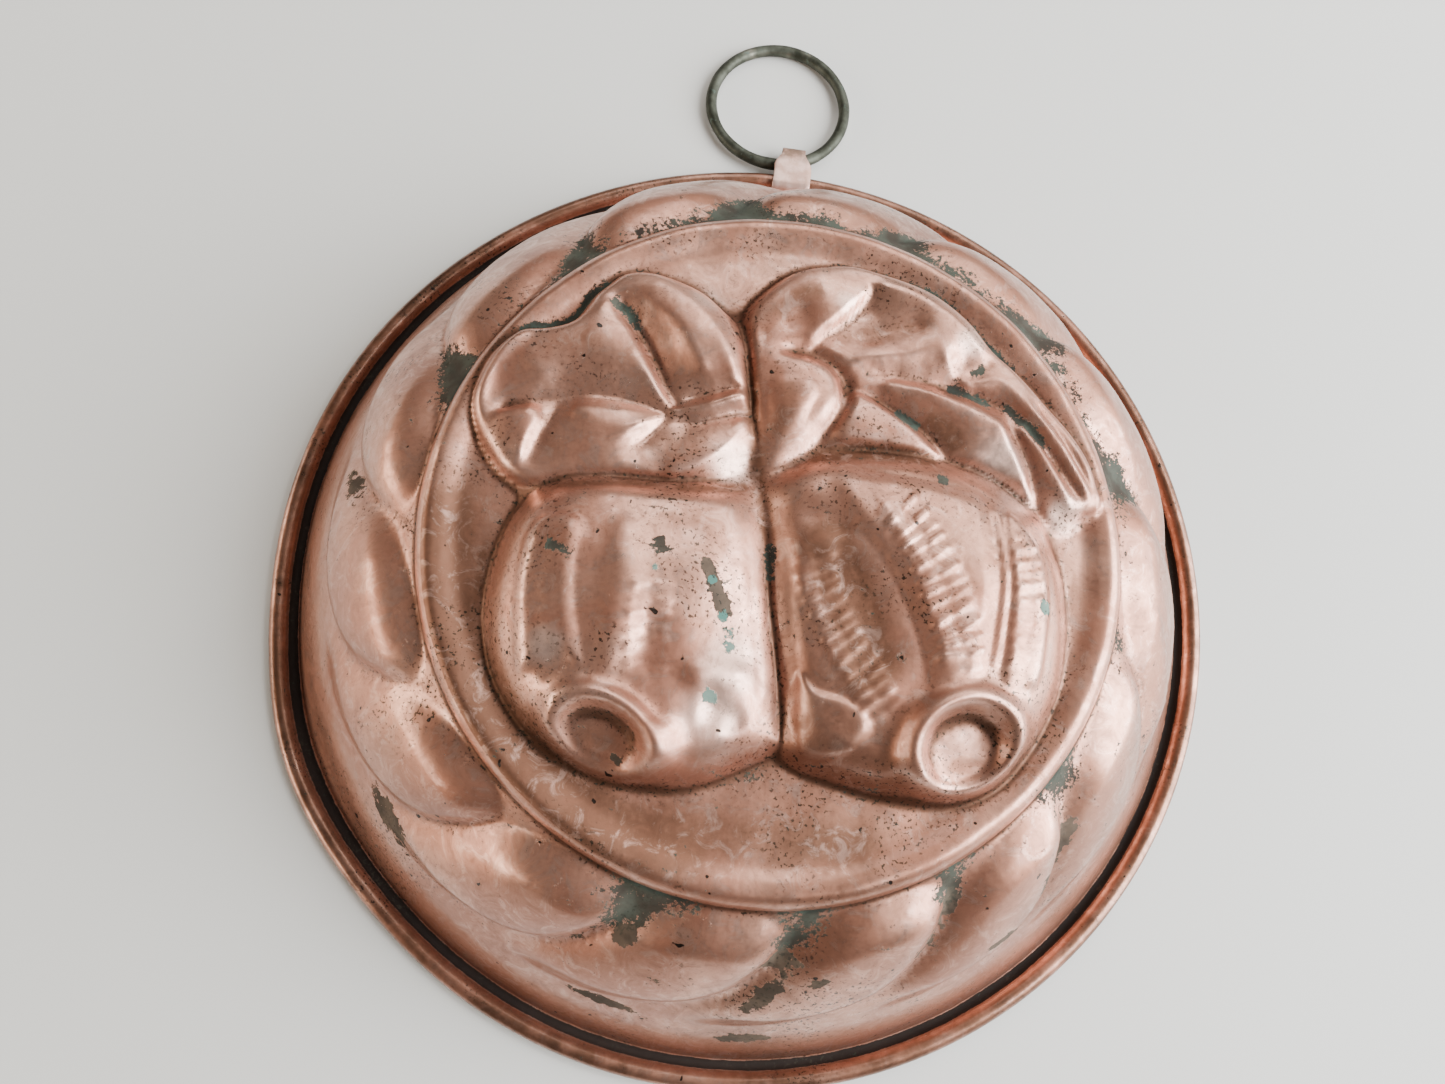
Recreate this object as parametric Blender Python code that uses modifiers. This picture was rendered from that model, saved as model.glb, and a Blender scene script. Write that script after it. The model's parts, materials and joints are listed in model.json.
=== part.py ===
"""Round copper mould with a fruit relief, a gadrooned wall, a wired rim and a hanging ring.

The mould stands on its open side. Its axis is parallel to Z, the strap and the ring are at +Y,
and the origin is under the middle of the whole object, on the surface that it stands on.
Lengths are in millimetres and MM turns them into Blender's metres.
"""

import math

import bmesh
import bpy
import numpy as np

MM = 0.001

# Sheet and rim
SHEET = 0.9
RIM_RADIUS = 120.0
ROLL_RADIUS = 2.2
ROLL_R = RIM_RADIUS - ROLL_RADIUS
WIRE_RADIUS = 0.95
SECTORS = 64
ROLL_END_DEG = -100.0
ROLL_STEPS = 8

# Wall and plateau
FOOT_R = 112.4
FOOT_Z = 1.7
WALL_PULL = (100.0, 28.0)
CREASE_R = 75.6
CREASE_Z = 49.6
PLATEAU_Z = 52.0
EDGE_Z = 53.6

# Pressed drops round the wall: the valley between two drops starts at each of these angles
DROP_VALLEYS_DEG = (19, 48, 75, 103, 131, 160, 185, 211, 234, 257, 280, 304, 326, 351)
DROP_HEIGHT = 5.0
DROP_SWEEP_DEG = 28.0

# Relief on the plateau
FRUIT_HEIGHT = 13.0
LEAF_HEIGHT = 7.0
BUD_HEIGHT = 8.0

# Strap round the ring
STRAP_SHEET = 0.7
STRAP_HALF = 5.3
STRAP_END_HALF = 3.3
STRAP_LEG_Y = 113.65
STRAP_TOP_Z = 5.65
STRAP_LOW_Z = 0.4
FOLD_Y = 125.0

# Hanging ring
RING_RADIUS = 19.6
RING_WIRE = 1.65
RING_YAW_DEG = 17.0
PIVOT_Y = 123.8
PIVOT_Z = 2.7

RING_DROP = math.asin((PIVOT_Z - RING_WIRE - 0.02) / (2 * RING_RADIUS))
RING_FAR_Y = PIVOT_Y + RING_RADIUS * math.cos(math.radians(RING_YAW_DEG)) + RING_RADIUS + RING_WIRE
AXIS_Y = -(RING_FAR_Y - RIM_RADIUS) / 2

# Where two shapes touch, the lower one runs on a little under its neighbour
LEFT_FRUIT = [
    (-46.7, 8.3), (-53.4, 2.2), (-57.0, -8.6), (-58.1, -18.9), (-55.0, -31.3), (-47.8, -42.6),
    (-37.4, -51.9), (-25.1, -55.0), (-11.7, -54.0), (-1.4, -49.4), (5.6, -44.7), (4.6, -37.5),
    (2.8, -27.2), (1.2, -16.9), (0.0, -6.6), (-1.6, 3.8), (-4.0, 11.0), (-19.9, 10.4), (-35.4, 9.4),
]
RIGHT_FRUIT = [
    (-4.6, 11.8), (4.6, 17.6), (15.8, 20.6), (31.6, 21.2), (42.6, 18.4), (53.6, 12.2), (59.5, 2.7),
    (62.6, -6.6), (62.6, -16.9), (60.5, -29.2), (56.4, -39.5), (51.2, -47.8), (43.0, -51.9),
    (31.6, -53.0), (16.2, -51.9), (6.4, -49.0), (2.8, -44.7), (0.8, -37.5), (-1.4, -27.2),
    (-2.9, -16.9), (-4.6, -6.6),
]
LEFT_LEAF = [
    (-6.5, 9.9), (-7.6, 20.2), (-9.1, 30.6), (-9.6, 39.8), (-12.7, 47.1), (-18.9, 52.2),
    (-27.1, 55.3), (-36.4, 55.3), (-42.6, 51.2), (-47.8, 44.0), (-53.9, 39.8), (-61.2, 35.7),
    (-65.3, 27.5), (-66.3, 17.2), (-62.2, 8.9), (-56.0, 3.8), (-48.8, 4.8), (-40.5, 6.3),
    (-25.1, 6.8),
]
RIGHT_LEAF = [
    (-8.6, 49.1), (-6.5, 57.4), (-0.3, 62.0), (8.9, 64.1), (21.3, 63.6), (31.6, 59.9),
    (39.9, 52.2), (48.1, 42.9), (57.4, 34.7), (64.6, 24.4), (68.2, 14.1), (60.5, 7.9),
    (52.3, 12.0), (41.9, 15.6), (26.5, 18.2), (13.1, 17.2), (4.8, 15.1), (10.0, 27.5),
    (10.0, 38.8), (2.8, 42.9), (-8.6, 42.9),
]
BUD = [
    (-7.5, 40.9), (0.7, 41.9), (6.9, 39.8), (10.0, 33.6), (8.9, 25.4), (4.8, 17.2), (0.7, 13.5),
    (-3.4, 16.1), (-6.5, 24.4), (-8.1, 34.7),
]
LEFT_CALYX = ((-31.5, -45.0), 9.0)
RIGHT_CALYX = ((42.5, -39.5), 10.5)


def clear_scene():
    for obj in list(bpy.data.objects):
        bpy.data.objects.remove(obj, do_unlink=True)


def parts_collection():
    collection = bpy.data.collections.new("copper_mould")
    bpy.context.scene.collection.children.link(collection)
    return collection


def principled(name, colour, roughness, metallic):
    material = bpy.data.materials.new(name)
    material.use_nodes = True
    shader = material.node_tree.nodes["Principled BSDF"]
    shader.inputs["Base Color"].default_value = (*colour, 1.0)
    shader.inputs["Roughness"].default_value = roughness
    shader.inputs["Metallic"].default_value = metallic
    return material


def place(obj, collection, material, parent):
    """Puts an object in the collection, under the mould's axis, with its material."""
    for user in list(obj.users_collection):
        user.objects.unlink(obj)
    collection.objects.link(obj)
    obj.data.materials.clear()
    obj.data.materials.append(material)
    obj.parent = parent


def arc(centre, radius, start_deg, end_deg, steps):
    """Points of a circular arc in the (r, z) plane, both ends included."""
    points = []
    for i in range(steps + 1):
        a = math.radians(start_deg + (end_deg - start_deg) * i / steps)
        points.append((centre[0] + radius * math.cos(a), centre[1] + radius * math.sin(a)))
    return points


# --- The pressed sheet ---


def wall_point(t):
    """The wall is a flat parabola, from the crease at t = 0 to the foot at t = 1."""
    pull_r, pull_z = WALL_PULL
    r = (1 - t) ** 2 * CREASE_R + 2 * t * (1 - t) * pull_r + t**2 * FOOT_R
    z = (1 - t) ** 2 * CREASE_Z + 2 * t * (1 - t) * pull_z + t**2 * FOOT_Z
    return r, z


def wall_place(r):
    """The wall's t at a radius, and the direction of its outer normal there."""
    pull_r, pull_z = WALL_PULL
    a = CREASE_R - 2 * pull_r + FOOT_R
    b = 2 * (pull_r - CREASE_R)
    inside = np.clip(r - CREASE_R, 0.0, FOOT_R - CREASE_R)
    t = (b - np.sqrt(b * b + 4 * a * inside)) / (-2 * a)
    along_r = (1 - t) * (pull_r - CREASE_R) + t * (FOOT_R - pull_r)
    along_z = (1 - t) * (pull_z - CREASE_Z) + t * (FOOT_Z - pull_z)
    length = np.hypot(along_r, along_z)
    return t, -along_z / length, along_r / length


def sheet_profile():
    """The outer face of the plain turned sheet, from the axis to the end of the roll."""
    points = [(r, PLATEAU_Z) for r in range(0, 66, 6)]
    points += [(65.0, PLATEAU_Z), (69.5, EDGE_Z - 0.3), (72.5, EDGE_Z), (74.8, EDGE_Z - 1.6)]
    points += [wall_point(t) for t in (0, 0.07, 0.16, 0.27, 0.38, 0.5, 0.62, 0.75, 0.88, 1)]
    points += arc((FOOT_R + 0.8, SHEET + 0.8), 0.8, 180, 270, 2)
    points += arc((ROLL_R - ROLL_RADIUS - 1.0, SHEET + 1.0), 1.0, 270, 360, 2)
    points += arc((ROLL_R, ROLL_RADIUS), ROLL_RADIUS, 180, ROLL_END_DEG, ROLL_STEPS)
    return points


def smooth_step(x, low, high):
    t = np.clip((x - low) / (high - low), 0.0, 1.0)
    return t * t * (3 - 2 * t)


def round_rise(depth, width):
    """0 at an outline, 1 where the depth inside it reaches the width, rounded like a quarter wave."""
    return np.sin(np.clip(depth / width, 0.0, 1.0) * math.pi / 2)


def depth_inside(x, y, outline):
    """Distance from each point to a closed outline, positive inside it."""
    nearest = np.full(x.shape, 1e9)
    inside = np.zeros(x.shape, dtype=bool)
    for (x0, y0), (x1, y1) in zip(outline, outline[1:] + outline[:1]):
        dx, dy = x1 - x0, y1 - y0
        along = np.clip(((x - x0) * dx + (y - y0) * dy) / (dx * dx + dy * dy), 0.0, 1.0)
        nearest = np.minimum(nearest, np.hypot(x - x0 - along * dx, y - y0 - along * dy))
        if y0 != y1:
            crosses = ((y0 > y) != (y1 > y)) & (x < x0 + (y - y0) * dx / dy)
            inside ^= crosses
    return np.where(inside, nearest, -nearest)


def calyx(x, y, place_and_size):
    """A ring-shaped swelling with a dished middle."""
    (cx, cy), radius = place_and_size
    distance = np.hypot(x - cx, y - cy)
    ridge = 2.2 * np.exp(-(((distance - radius) / 3.0) ** 2))
    dish = 2.5 * np.exp(-((distance / (0.6 * radius)) ** 2))
    return ridge - dish


def plateau_relief(x, y):
    """Height of the pressed fruits, leaves and bud above the plateau's floor."""
    height = np.zeros(x.shape)
    for outline in (LEFT_LEAF, RIGHT_LEAF):
        height = np.maximum(height, LEAF_HEIGHT * round_rise(depth_inside(x, y, outline), 7.0))
    height = np.maximum(height, BUD_HEIGHT * round_rise(depth_inside(x, y, BUD), 7.0))
    for outline, ring in ((LEFT_FRUIT, LEFT_CALYX), (RIGHT_FRUIT, RIGHT_CALYX)):
        depth = depth_inside(x, y, outline)
        dome = FRUIT_HEIGHT * (0.8 * round_rise(depth, 11.0) + 0.2 * round_rise(depth, 26.0))
        dome += calyx(x, y, ring) * smooth_step(depth, 0.0, 6.0)
        height = np.maximum(height, dome)
    return height


def drop_relief(theta_deg, t):
    """Height of the drops above the wall: tongues that lean clockwise as they run down it."""
    swept = theta_deg + DROP_SWEEP_DEG * t**1.15
    starts = np.array(DROP_VALLEYS_DEG, dtype=float)
    index = np.searchsorted(starts, swept % 360.0, side="right") - 1
    low = starts[index]
    high = np.append(starts, starts[0] + 360.0)[index % len(starts) + 1]
    across = ((swept - low) % 360.0) / ((high - low) % 360.0)
    centred = 2 * across**1.15 - 1
    head = round_rise(t - 0.01 - 0.08 * centred**2, 0.14)
    fullness = 1 - 0.9 * smooth_step(t, 0.16, 0.98)
    tip = 0.66 - 0.2 * across**3
    tail = 1 - smooth_step(t, tip - 0.17, tip + 0.02)
    return DROP_HEIGHT * (1 - centred**2) * head * fullness * tail


def press(bm):
    """Moves the turned sheet's points to the pressed surface."""
    pressed = [v for v in bm.verts if math.hypot(v.co.x, v.co.y) < (FOOT_R - 0.01) * MM]
    x = np.array([v.co.x for v in pressed]) / MM
    y = np.array([v.co.y for v in pressed]) / MM
    r = np.hypot(x, y)
    theta = np.degrees(np.arctan2(y, x))
    t, normal_r, normal_z = wall_place(r)
    bulge = np.where(r > CREASE_R - 0.01, drop_relief(theta, t), 0.0)
    rise = np.where(r < 70.0, plateau_relief(x, y) * (1 - smooth_step(r, 66.0, 70.0)), 0.0)
    for i, vert in enumerate(pressed):
        outwards = bulge[i] * normal_r[i] * MM
        if r[i] > 1e-6:
            vert.co.x += outwards * x[i] / r[i]
            vert.co.y += outwards * y[i] / r[i]
        vert.co.z += (bulge[i] * normal_z[i] + rise[i]) * MM


def mould_shell(collection, material, parent):
    """One raised sheet: turned, pressed, then given its thickness on the inner side."""
    bm = bmesh.new()
    verts = [bm.verts.new((r * MM, 0.0, z * MM)) for r, z in sheet_profile()]
    edges = [bm.edges.new(pair) for pair in zip(verts, verts[1:])]
    bmesh.ops.spin(
        bm, geom=verts + edges, cent=(0, 0, 0), axis=(0, 0, 1), angle=math.tau,
        steps=SECTORS, use_merge=True,
    )
    bmesh.ops.remove_doubles(bm, verts=bm.verts, dist=1e-6)
    bmesh.ops.recalc_face_normals(bm, faces=bm.faces)
    top = max(bm.faces, key=lambda face: face.calc_center_median().z)
    if top.normal.z < 0:
        bmesh.ops.reverse_faces(bm, faces=bm.faces)
    press(bm)
    mesh = bpy.data.meshes.new("mould_shell")
    bm.to_mesh(mesh)
    bm.free()
    mesh.shade_smooth()
    shell = bpy.data.objects.new("mould_shell", mesh)
    place(shell, collection, material, parent)
    solidify = shell.modifiers.new("sheet", "SOLIDIFY")
    solidify.thickness = SHEET * MM
    solidify.offset = -1.0
    solidify.use_even_offset = True
    return shell


# --- The wire in the rim ---


def ring_wire(name, radius, thickness, around, across):
    bpy.ops.mesh.primitive_torus_add(
        major_radius=radius * MM, minor_radius=thickness * MM,
        major_segments=around, minor_segments=across,
    )
    obj = bpy.context.object
    obj.name = name
    obj.data.name = name
    obj.data.shade_smooth()
    return obj


def rim_wire(collection, material, parent):
    wire = ring_wire("rim_wire", ROLL_R, WIRE_RADIUS, SECTORS, 8)
    place(wire, collection, material, parent)
    wire.location = (0.0, 0.0, ROLL_RADIUS * MM)
    return wire


# --- The strap, its solder and the ring ---


def strap_path():
    """The strap's middle line in the (y, z) plane with its half width at each point."""
    fold_radius = (STRAP_TOP_Z - STRAP_LOW_Z) / 2
    fold_centre = (FOLD_Y, STRAP_LOW_Z + fold_radius)
    leg_bend = arc((STRAP_LEG_Y + 2.4, STRAP_TOP_Z - 2.4), 2.4, 180, 90, 3)
    path = [((STRAP_LEG_Y, 1.4), STRAP_HALF)]
    path += [(point, STRAP_HALF) for point in leg_bend]
    path += [((121.6, STRAP_TOP_Z), STRAP_HALF)]
    path += [(point, STRAP_END_HALF) for point in arc(fold_centre, fold_radius, 90, -90, 8)]
    path += [((RIM_RADIUS + 0.9, STRAP_LOW_Z), STRAP_END_HALF - 0.4)]
    return path


def ring_strap(collection, material, parent):
    bm = bmesh.new()
    rows = []
    for (y, z), half in strap_path():
        rows.append([bm.verts.new((side * half * MM, y * MM, z * MM)) for side in (-1, 1)])
    for (a, b), (c, d) in zip(rows, rows[1:]):
        bm.faces.new((a, b, d, c))
    mesh = bpy.data.meshes.new("ring_strap")
    bm.to_mesh(mesh)
    bm.free()
    strap = bpy.data.objects.new("ring_strap", mesh)
    place(strap, collection, material, parent)
    solidify = strap.modifiers.new("strip", "SOLIDIFY")
    solidify.thickness = STRAP_SHEET * MM
    solidify.offset = 0.0
    solidify.use_even_offset = True
    return strap


def strap_solder(collection, material, parent):
    """A bead of solder in the gutter, between the strap's leg and the roll."""
    radius = (STRAP_LEG_Y + STRAP_SHEET / 2 + ROLL_R - ROLL_RADIUS) / 2
    half_angle = math.radians(4.4)
    steps = 10
    curve = bpy.data.curves.new("strap_solder", "CURVE")
    curve.dimensions = "3D"
    curve.bevel_depth = 0.45 * MM
    curve.bevel_resolution = 1
    curve.use_fill_caps = True
    spline = curve.splines.new("POLY")
    spline.points.add(steps)
    for i, point in enumerate(spline.points):
        a = -half_angle + 2 * half_angle * i / steps
        point.co = (radius * math.sin(a) * MM, radius * math.cos(a) * MM, 1.9 * MM, 1.0)
        point.radius = 0.6 if i in (0, steps) else 1.0
    solder = bpy.data.objects.new("strap_solder", curve)
    place(solder, collection, material, parent)
    return solder


def hanging_ring(collection, material, parent):
    """The ring's origin is on the joint's axis, where its wire passes through the strap's fold."""
    ring = ring_wire("hanging_ring", RING_RADIUS, RING_WIRE, 48, 10)
    for vert in ring.data.vertices:
        vert.co.y += RING_RADIUS * MM
    place(ring, collection, material, parent)
    ring.location = (0.0, PIVOT_Y * MM, PIVOT_Z * MM)
    ring.rotation_euler = (-RING_DROP, 0.0, math.radians(RING_YAW_DEG))
    return ring


def main():
    clear_scene()
    collection = parts_collection()
    copper = principled("copper", (0.62, 0.36, 0.29), 0.35, 1.0)
    strap_copper = principled("strap_copper", (0.58, 0.37, 0.31), 0.42, 1.0)
    iron = principled("iron_wire", (0.12, 0.10, 0.08), 0.6, 1.0)
    ring_metal = principled("ring_metal", (0.07, 0.08, 0.06), 0.45, 1.0)
    solder = principled("solder", (0.34, 0.33, 0.31), 0.5, 1.0)

    axis = bpy.data.objects.new("mould_axis", None)
    collection.objects.link(axis)
    axis.location = (0.0, AXIS_Y * MM, 0.0)

    mould_shell(collection, copper, axis)
    rim_wire(collection, iron, axis)
    ring_strap(collection, strap_copper, axis)
    strap_solder(collection, solder, axis)
    hanging_ring(collection, ring_metal, axis)


main()
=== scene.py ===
import json
import math

import bmesh
import bpy
import numpy as np
from mathutils import Euler, Matrix, Vector


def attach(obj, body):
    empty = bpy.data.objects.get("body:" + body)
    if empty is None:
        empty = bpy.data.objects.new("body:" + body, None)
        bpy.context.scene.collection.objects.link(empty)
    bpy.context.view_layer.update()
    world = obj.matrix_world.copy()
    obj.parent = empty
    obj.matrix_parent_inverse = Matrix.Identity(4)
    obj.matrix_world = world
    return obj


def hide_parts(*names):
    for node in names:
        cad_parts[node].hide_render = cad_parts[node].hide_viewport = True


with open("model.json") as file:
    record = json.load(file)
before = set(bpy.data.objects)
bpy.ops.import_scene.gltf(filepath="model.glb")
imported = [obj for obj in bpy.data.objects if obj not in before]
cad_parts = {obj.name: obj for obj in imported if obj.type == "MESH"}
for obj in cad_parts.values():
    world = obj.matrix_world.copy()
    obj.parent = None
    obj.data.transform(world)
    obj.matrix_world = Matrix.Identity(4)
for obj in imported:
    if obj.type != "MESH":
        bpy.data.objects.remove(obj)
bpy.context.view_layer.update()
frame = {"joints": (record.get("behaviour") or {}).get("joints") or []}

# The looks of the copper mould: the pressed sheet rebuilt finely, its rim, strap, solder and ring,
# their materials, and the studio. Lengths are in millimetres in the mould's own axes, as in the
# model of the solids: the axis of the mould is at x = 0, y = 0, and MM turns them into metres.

MM = 0.001

# --- Dimensions: those of the solids, but with the wall's foot 0.6 mm further out ---

SHEET = 0.9
RIM_RADIUS = 120.0
ROLL_RADIUS = 2.2
ROLL_R = RIM_RADIUS - ROLL_RADIUS
ROLL_END_DEG = -100.0
WIRE_RADIUS = 0.95
FOOT_R = 113.0
FOOT_Z = 1.7
WALL_PULL = (100.0, 28.0)
CREASE_R = 75.6
CREASE_Z = 49.6
PLATEAU_Z = 52.0
EDGE_Z = 53.6
DROP_VALLEYS_DEG = (19, 48, 75, 103, 131, 160, 185, 211, 234, 257, 280, 304, 326, 351)
DROP_HEIGHT = 5.0
DROP_SWEEP_DEG = 28.0
FRUIT_HEIGHT = 13.0
BUD_HEIGHT = 8.0
STRAP_SHEET = 0.7
STRAP_HALF = 5.3
STRAP_END_HALF = 3.3
STRAP_LEG_Y = 113.65
STRAP_TOP_Z = 5.65
STRAP_LOW_Z = 0.4
FOLD_Y = 125.0
RING_RADIUS = 19.6
RING_WIRE = 1.65

# The joint's place gives the mould's axis in the frame
PIVOT_Y = 123.8
swing = next(joint for joint in frame["joints"] if joint["name"] == "ring_swing")
pivot = Vector(swing["pos_m"])
AXIS_Y = pivot.y / MM - PIVOT_Y
PIVOT_Z = pivot.z / MM
ring_axis = Vector(swing["axis"])
RING_DROP = math.asin((PIVOT_Z - RING_WIRE - 0.02) / (2 * RING_RADIUS))


def in_frame(x, y, z):
    """A point in the mould's own axes, in millimetres, as metres in the frame."""
    return Vector((x * MM, (y + AXIS_Y) * MM, z * MM))


# --- Outlines of the relief ---

# Where two shapes touch, the lower one runs on a little under its neighbour
LEFT_FRUIT = [
    (-44.7, 8), (-51.7, 3.6), (-55.9, -2.9), (-58, -11.4), (-58.6, -19.9), (-57.5, -28.4),
    (-54.8, -35.9), (-50.6, -42.2), (-45.3, -47.5), (-38.9, -51.3), (-31.5, -53.9), (-24, -55),
    (-16.6, -54.8), (-9.2, -52.8), (-2.8, -49.7), (2.8, -46.4), (5.4, -43.5), (4.8, -35.1),
    (3.4, -26.7), (1.3, -16.3), (-0.4, -5.8), (-2, 2.6), (-3.6, 9.8), (-14.7, 10.4),
    (-25.1, 9.8), (-35.4, 9.4),
]
RIGHT_FRUIT = [
    (-6.6, 12.6), (2.6, 18.4), (9.9, 20.2), (17.4, 21.4), (28, 21.8), (36.5, 20.6), (43.9, 18.2),
    (50.3, 14.6), (56.4, 10.7), (59.8, 3.4), (61.9, -2.9), (62.8, -11.4), (62.5, -19.9),
    (60.9, -28.4), (57.7, -35.9), (54.5, -41.2), (50.3, -46.5), (45, -50.2), (38.6, -52.3),
    (31.2, -52.6), (22.7, -51.8), (14.2, -50.2), (7, -48.3), (2.6, -44.4), (0.4, -35.1),
    (-1.2, -26.7), (-3.3, -16.3), (-4.9, -5.8), (-6.4, 2.6),
]
LEFT_LEAF = [
    (-8.5, 30.9), (-9.5, 36.1), (-10.6, 41.3), (-13.4, 46.4), (-17.8, 50.6), (-22, 53.2),
    (-28.2, 55.2), (-34.4, 56.1), (-39.6, 55), (-42.7, 52.1), (-45.8, 48.5), (-47.8, 44.4),
    (-49.9, 41.8), (-54, 40.2), (-59.2, 38.7), (-62.3, 36.1), (-65.4, 32), (-67, 26.8),
    (-67.5, 20.6), (-65.9, 14.4), (-62.3, 8.7), (-58.2, 4.8), (-53, 3), (-44.7, 5),
    (-35.4, 6.1), (-25.1, 6.4), (-14.7, 7.1), (-7.5, 8.4), (-4.6, 10.4), (-5.2, 16.4), (-6.7, 22.6),
]
RIGHT_LEAF = [
    (-12.1, 43.3), (-12, 49.6), (-9.2, 54.2), (-5.4, 58.4), (-1.3, 61.5), (3.9, 63.3),
    (10.1, 64.4), (16.3, 63.8), (23.6, 62), (29.8, 59.9), (35, 56.8), (40.1, 52.7),
    (44.3, 48), (49.5, 43.9), (54.6, 39.2), (58.8, 35.1), (62.9, 30.4), (67.1, 23.7),
    (69.1, 17.5), (70, 14.6), (66, 10.7), (60.8, 7.1), (57, 7.6), (50.5, 12.8),
    (44.3, 15.9), (37, 18), (26.7, 18), (16.3, 17.5), (9.1, 15.9), (2, 13.5),
    (-5.8, 10.4), (-9.2, 24.7), (-11.3, 37),
]
BUD = [
    (-10.6, 34), (-7.4, 38), (-2, 39.2), (3.4, 39), (7.6, 37.2), (10.2, 34), (10.4, 30.2),
    (8.6, 25.6), (6, 21.2), (3.2, 17.2), (0.4, 14.2), (-3.4, 12.4), (-7, 16), (-9.2, 24),
]

# --- Small tools for shapes ---


def smooth_step(x, low, high):
    t = np.clip((x - low) / (high - low), 0.0, 1.0)
    return t * t * (3 - 2 * t)


def bell(x):
    """1 at zero, falling away smoothly on both sides."""
    return np.exp(-(x ** 2))


def round_rise(depth, width):
    """0 at an outline, 1 where the depth inside it reaches the width."""
    return np.sin(np.clip(depth / width, 0.0, 1.0) * math.pi / 2)


def curve_through(points, closed=False, steps=6):
    """A smooth curve through the points, as a list of closely spaced points."""
    p = np.array(points, dtype=float)
    if closed:
        p = np.vstack([p[-1], p, p[0], p[1]])
    else:
        p = np.vstack([2 * p[0] - p[1], p, 2 * p[-1] - p[-2]])
    out = []
    for a, b, c, d in zip(p, p[1:], p[2:], p[3:]):
        for t in np.arange(steps) / steps:
            out.append(
                0.5 * (2 * b + (c - a) * t + (2 * a - 5 * b + 4 * c - d) * t**2
                       + (3 * b - a - 3 * c + d) * t**3)
            )
    if not closed:
        out.append(p[-2])
    return np.array(out)


def depth_inside(x, y, outline):
    """Distance from each point to a closed outline, positive inside it."""
    nearest = np.full(x.shape, 1e9)
    inside = np.zeros(x.shape, dtype=bool)
    for (x0, y0), (x1, y1) in zip(outline, np.roll(outline, -1, axis=0)):
        dx, dy = x1 - x0, y1 - y0
        along = np.clip(((x - x0) * dx + (y - y0) * dy) / (dx * dx + dy * dy), 0.0, 1.0)
        nearest = np.minimum(nearest, np.hypot(x - x0 - along * dx, y - y0 - along * dy))
        if y0 != y1:
            inside ^= ((y0 > y) != (y1 > y)) & (x < x0 + (y - y0) * dx / dy)
    return np.where(inside, nearest, -nearest)


def outline_depth(x, y, outline):
    return depth_inside(x, y, curve_through(outline, closed=True, steps=3))


def along_and_aside(x, y, path):
    """Each point's place along a path, 0 to 1, and its distance to the path's left side."""
    lengths = np.hypot(*np.diff(path, axis=0).T)
    total = lengths.sum()
    best = np.full(x.shape, 1e9)
    along = np.zeros(x.shape)
    aside = np.full(x.shape, 1e9)
    walked = 0.0
    for (x0, y0), (x1, y1), length in zip(path, path[1:], lengths):
        dx, dy = (x1 - x0) / length, (y1 - y0) / length
        t = np.clip((x - x0) * dx + (y - y0) * dy, 0.0, length)
        ox, oy = x - x0 - t * dx, y - y0 - t * dy
        distance = np.hypot(ox, oy)
        closer = distance < best
        best = np.where(closer, distance, best)
        along = np.where(closer, (walked + t) / total, along)
        side = np.where(dx * oy - dy * ox >= 0, 1.0, -1.0)
        aside = np.where(closer, side * distance, aside)
        walked += length
    return along, aside


def ends_fade(along, share=0.2):
    return smooth_step(along, 0.0, share) * (1 - smooth_step(along, 1 - share, 1.0))


def ridge(x, y, points, height, width, share=0.15):
    """A rounded line standing out along a path; a negative height is a groove."""
    along, aside = along_and_aside(x, y, curve_through(points))
    return height * bell(aside / width) * ends_fade(along, share)


def ladder(x, y, points, half_width, count, height):
    """Short bars across a path, like rungs."""
    along, aside = along_and_aside(x, y, curve_through(points))
    phase = (along * count + 0.16 * np.sin(23 * along) + 0.06 * aside) % 1.0 - 0.5
    rung = bell(phase / 0.22) * (0.85 + 0.15 * np.sin(41 * along + 0.6 * aside))
    split = 1 - 0.5 * bell((aside + 0.5 * np.sin(19 * along)) / 0.7)
    inside = 1 - smooth_step(np.abs(aside), half_width - 1.8, half_width)
    return height * rung * split * inside * ends_fade(along, 0.08)


def band(x, y, outline, height, width=1.6):
    """A low raised strip with a crisp edge."""
    return height * round_rise(outline_depth(x, y, outline), width)


def rotated_distance(x, y, centre, semi_axes, turn_deg):
    """1 on an ellipse, 0 at its centre."""
    c, s = math.cos(math.radians(turn_deg)), math.sin(math.radians(turn_deg))
    u = ((x - centre[0]) * c + (y - centre[1]) * s) / semi_axes[0]
    v = (-(x - centre[0]) * s + (y - centre[1]) * c) / semi_axes[1]
    return np.hypot(u, v)


def calyx(x, y, centre, semi_axes, turn_deg, crest, dip):
    """A swollen ring with a dished middle."""
    d = rotated_distance(x, y, centre, semi_axes, turn_deg)
    swelling = crest * bell((d - 0.82) / 0.24)
    dish = dip * (1 - smooth_step(d, 0.45, 0.8))
    return swelling - dish


# --- The relief on the plateau, made once on a square grid ---

GRID_HALF = 76.0
GRID_STEP = 0.5
COARSEST = 4.0
RELAX_PASSES = 220
SKIN_MIDDLE = 5.2
SKIN_CONTRAST = 1.4


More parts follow.
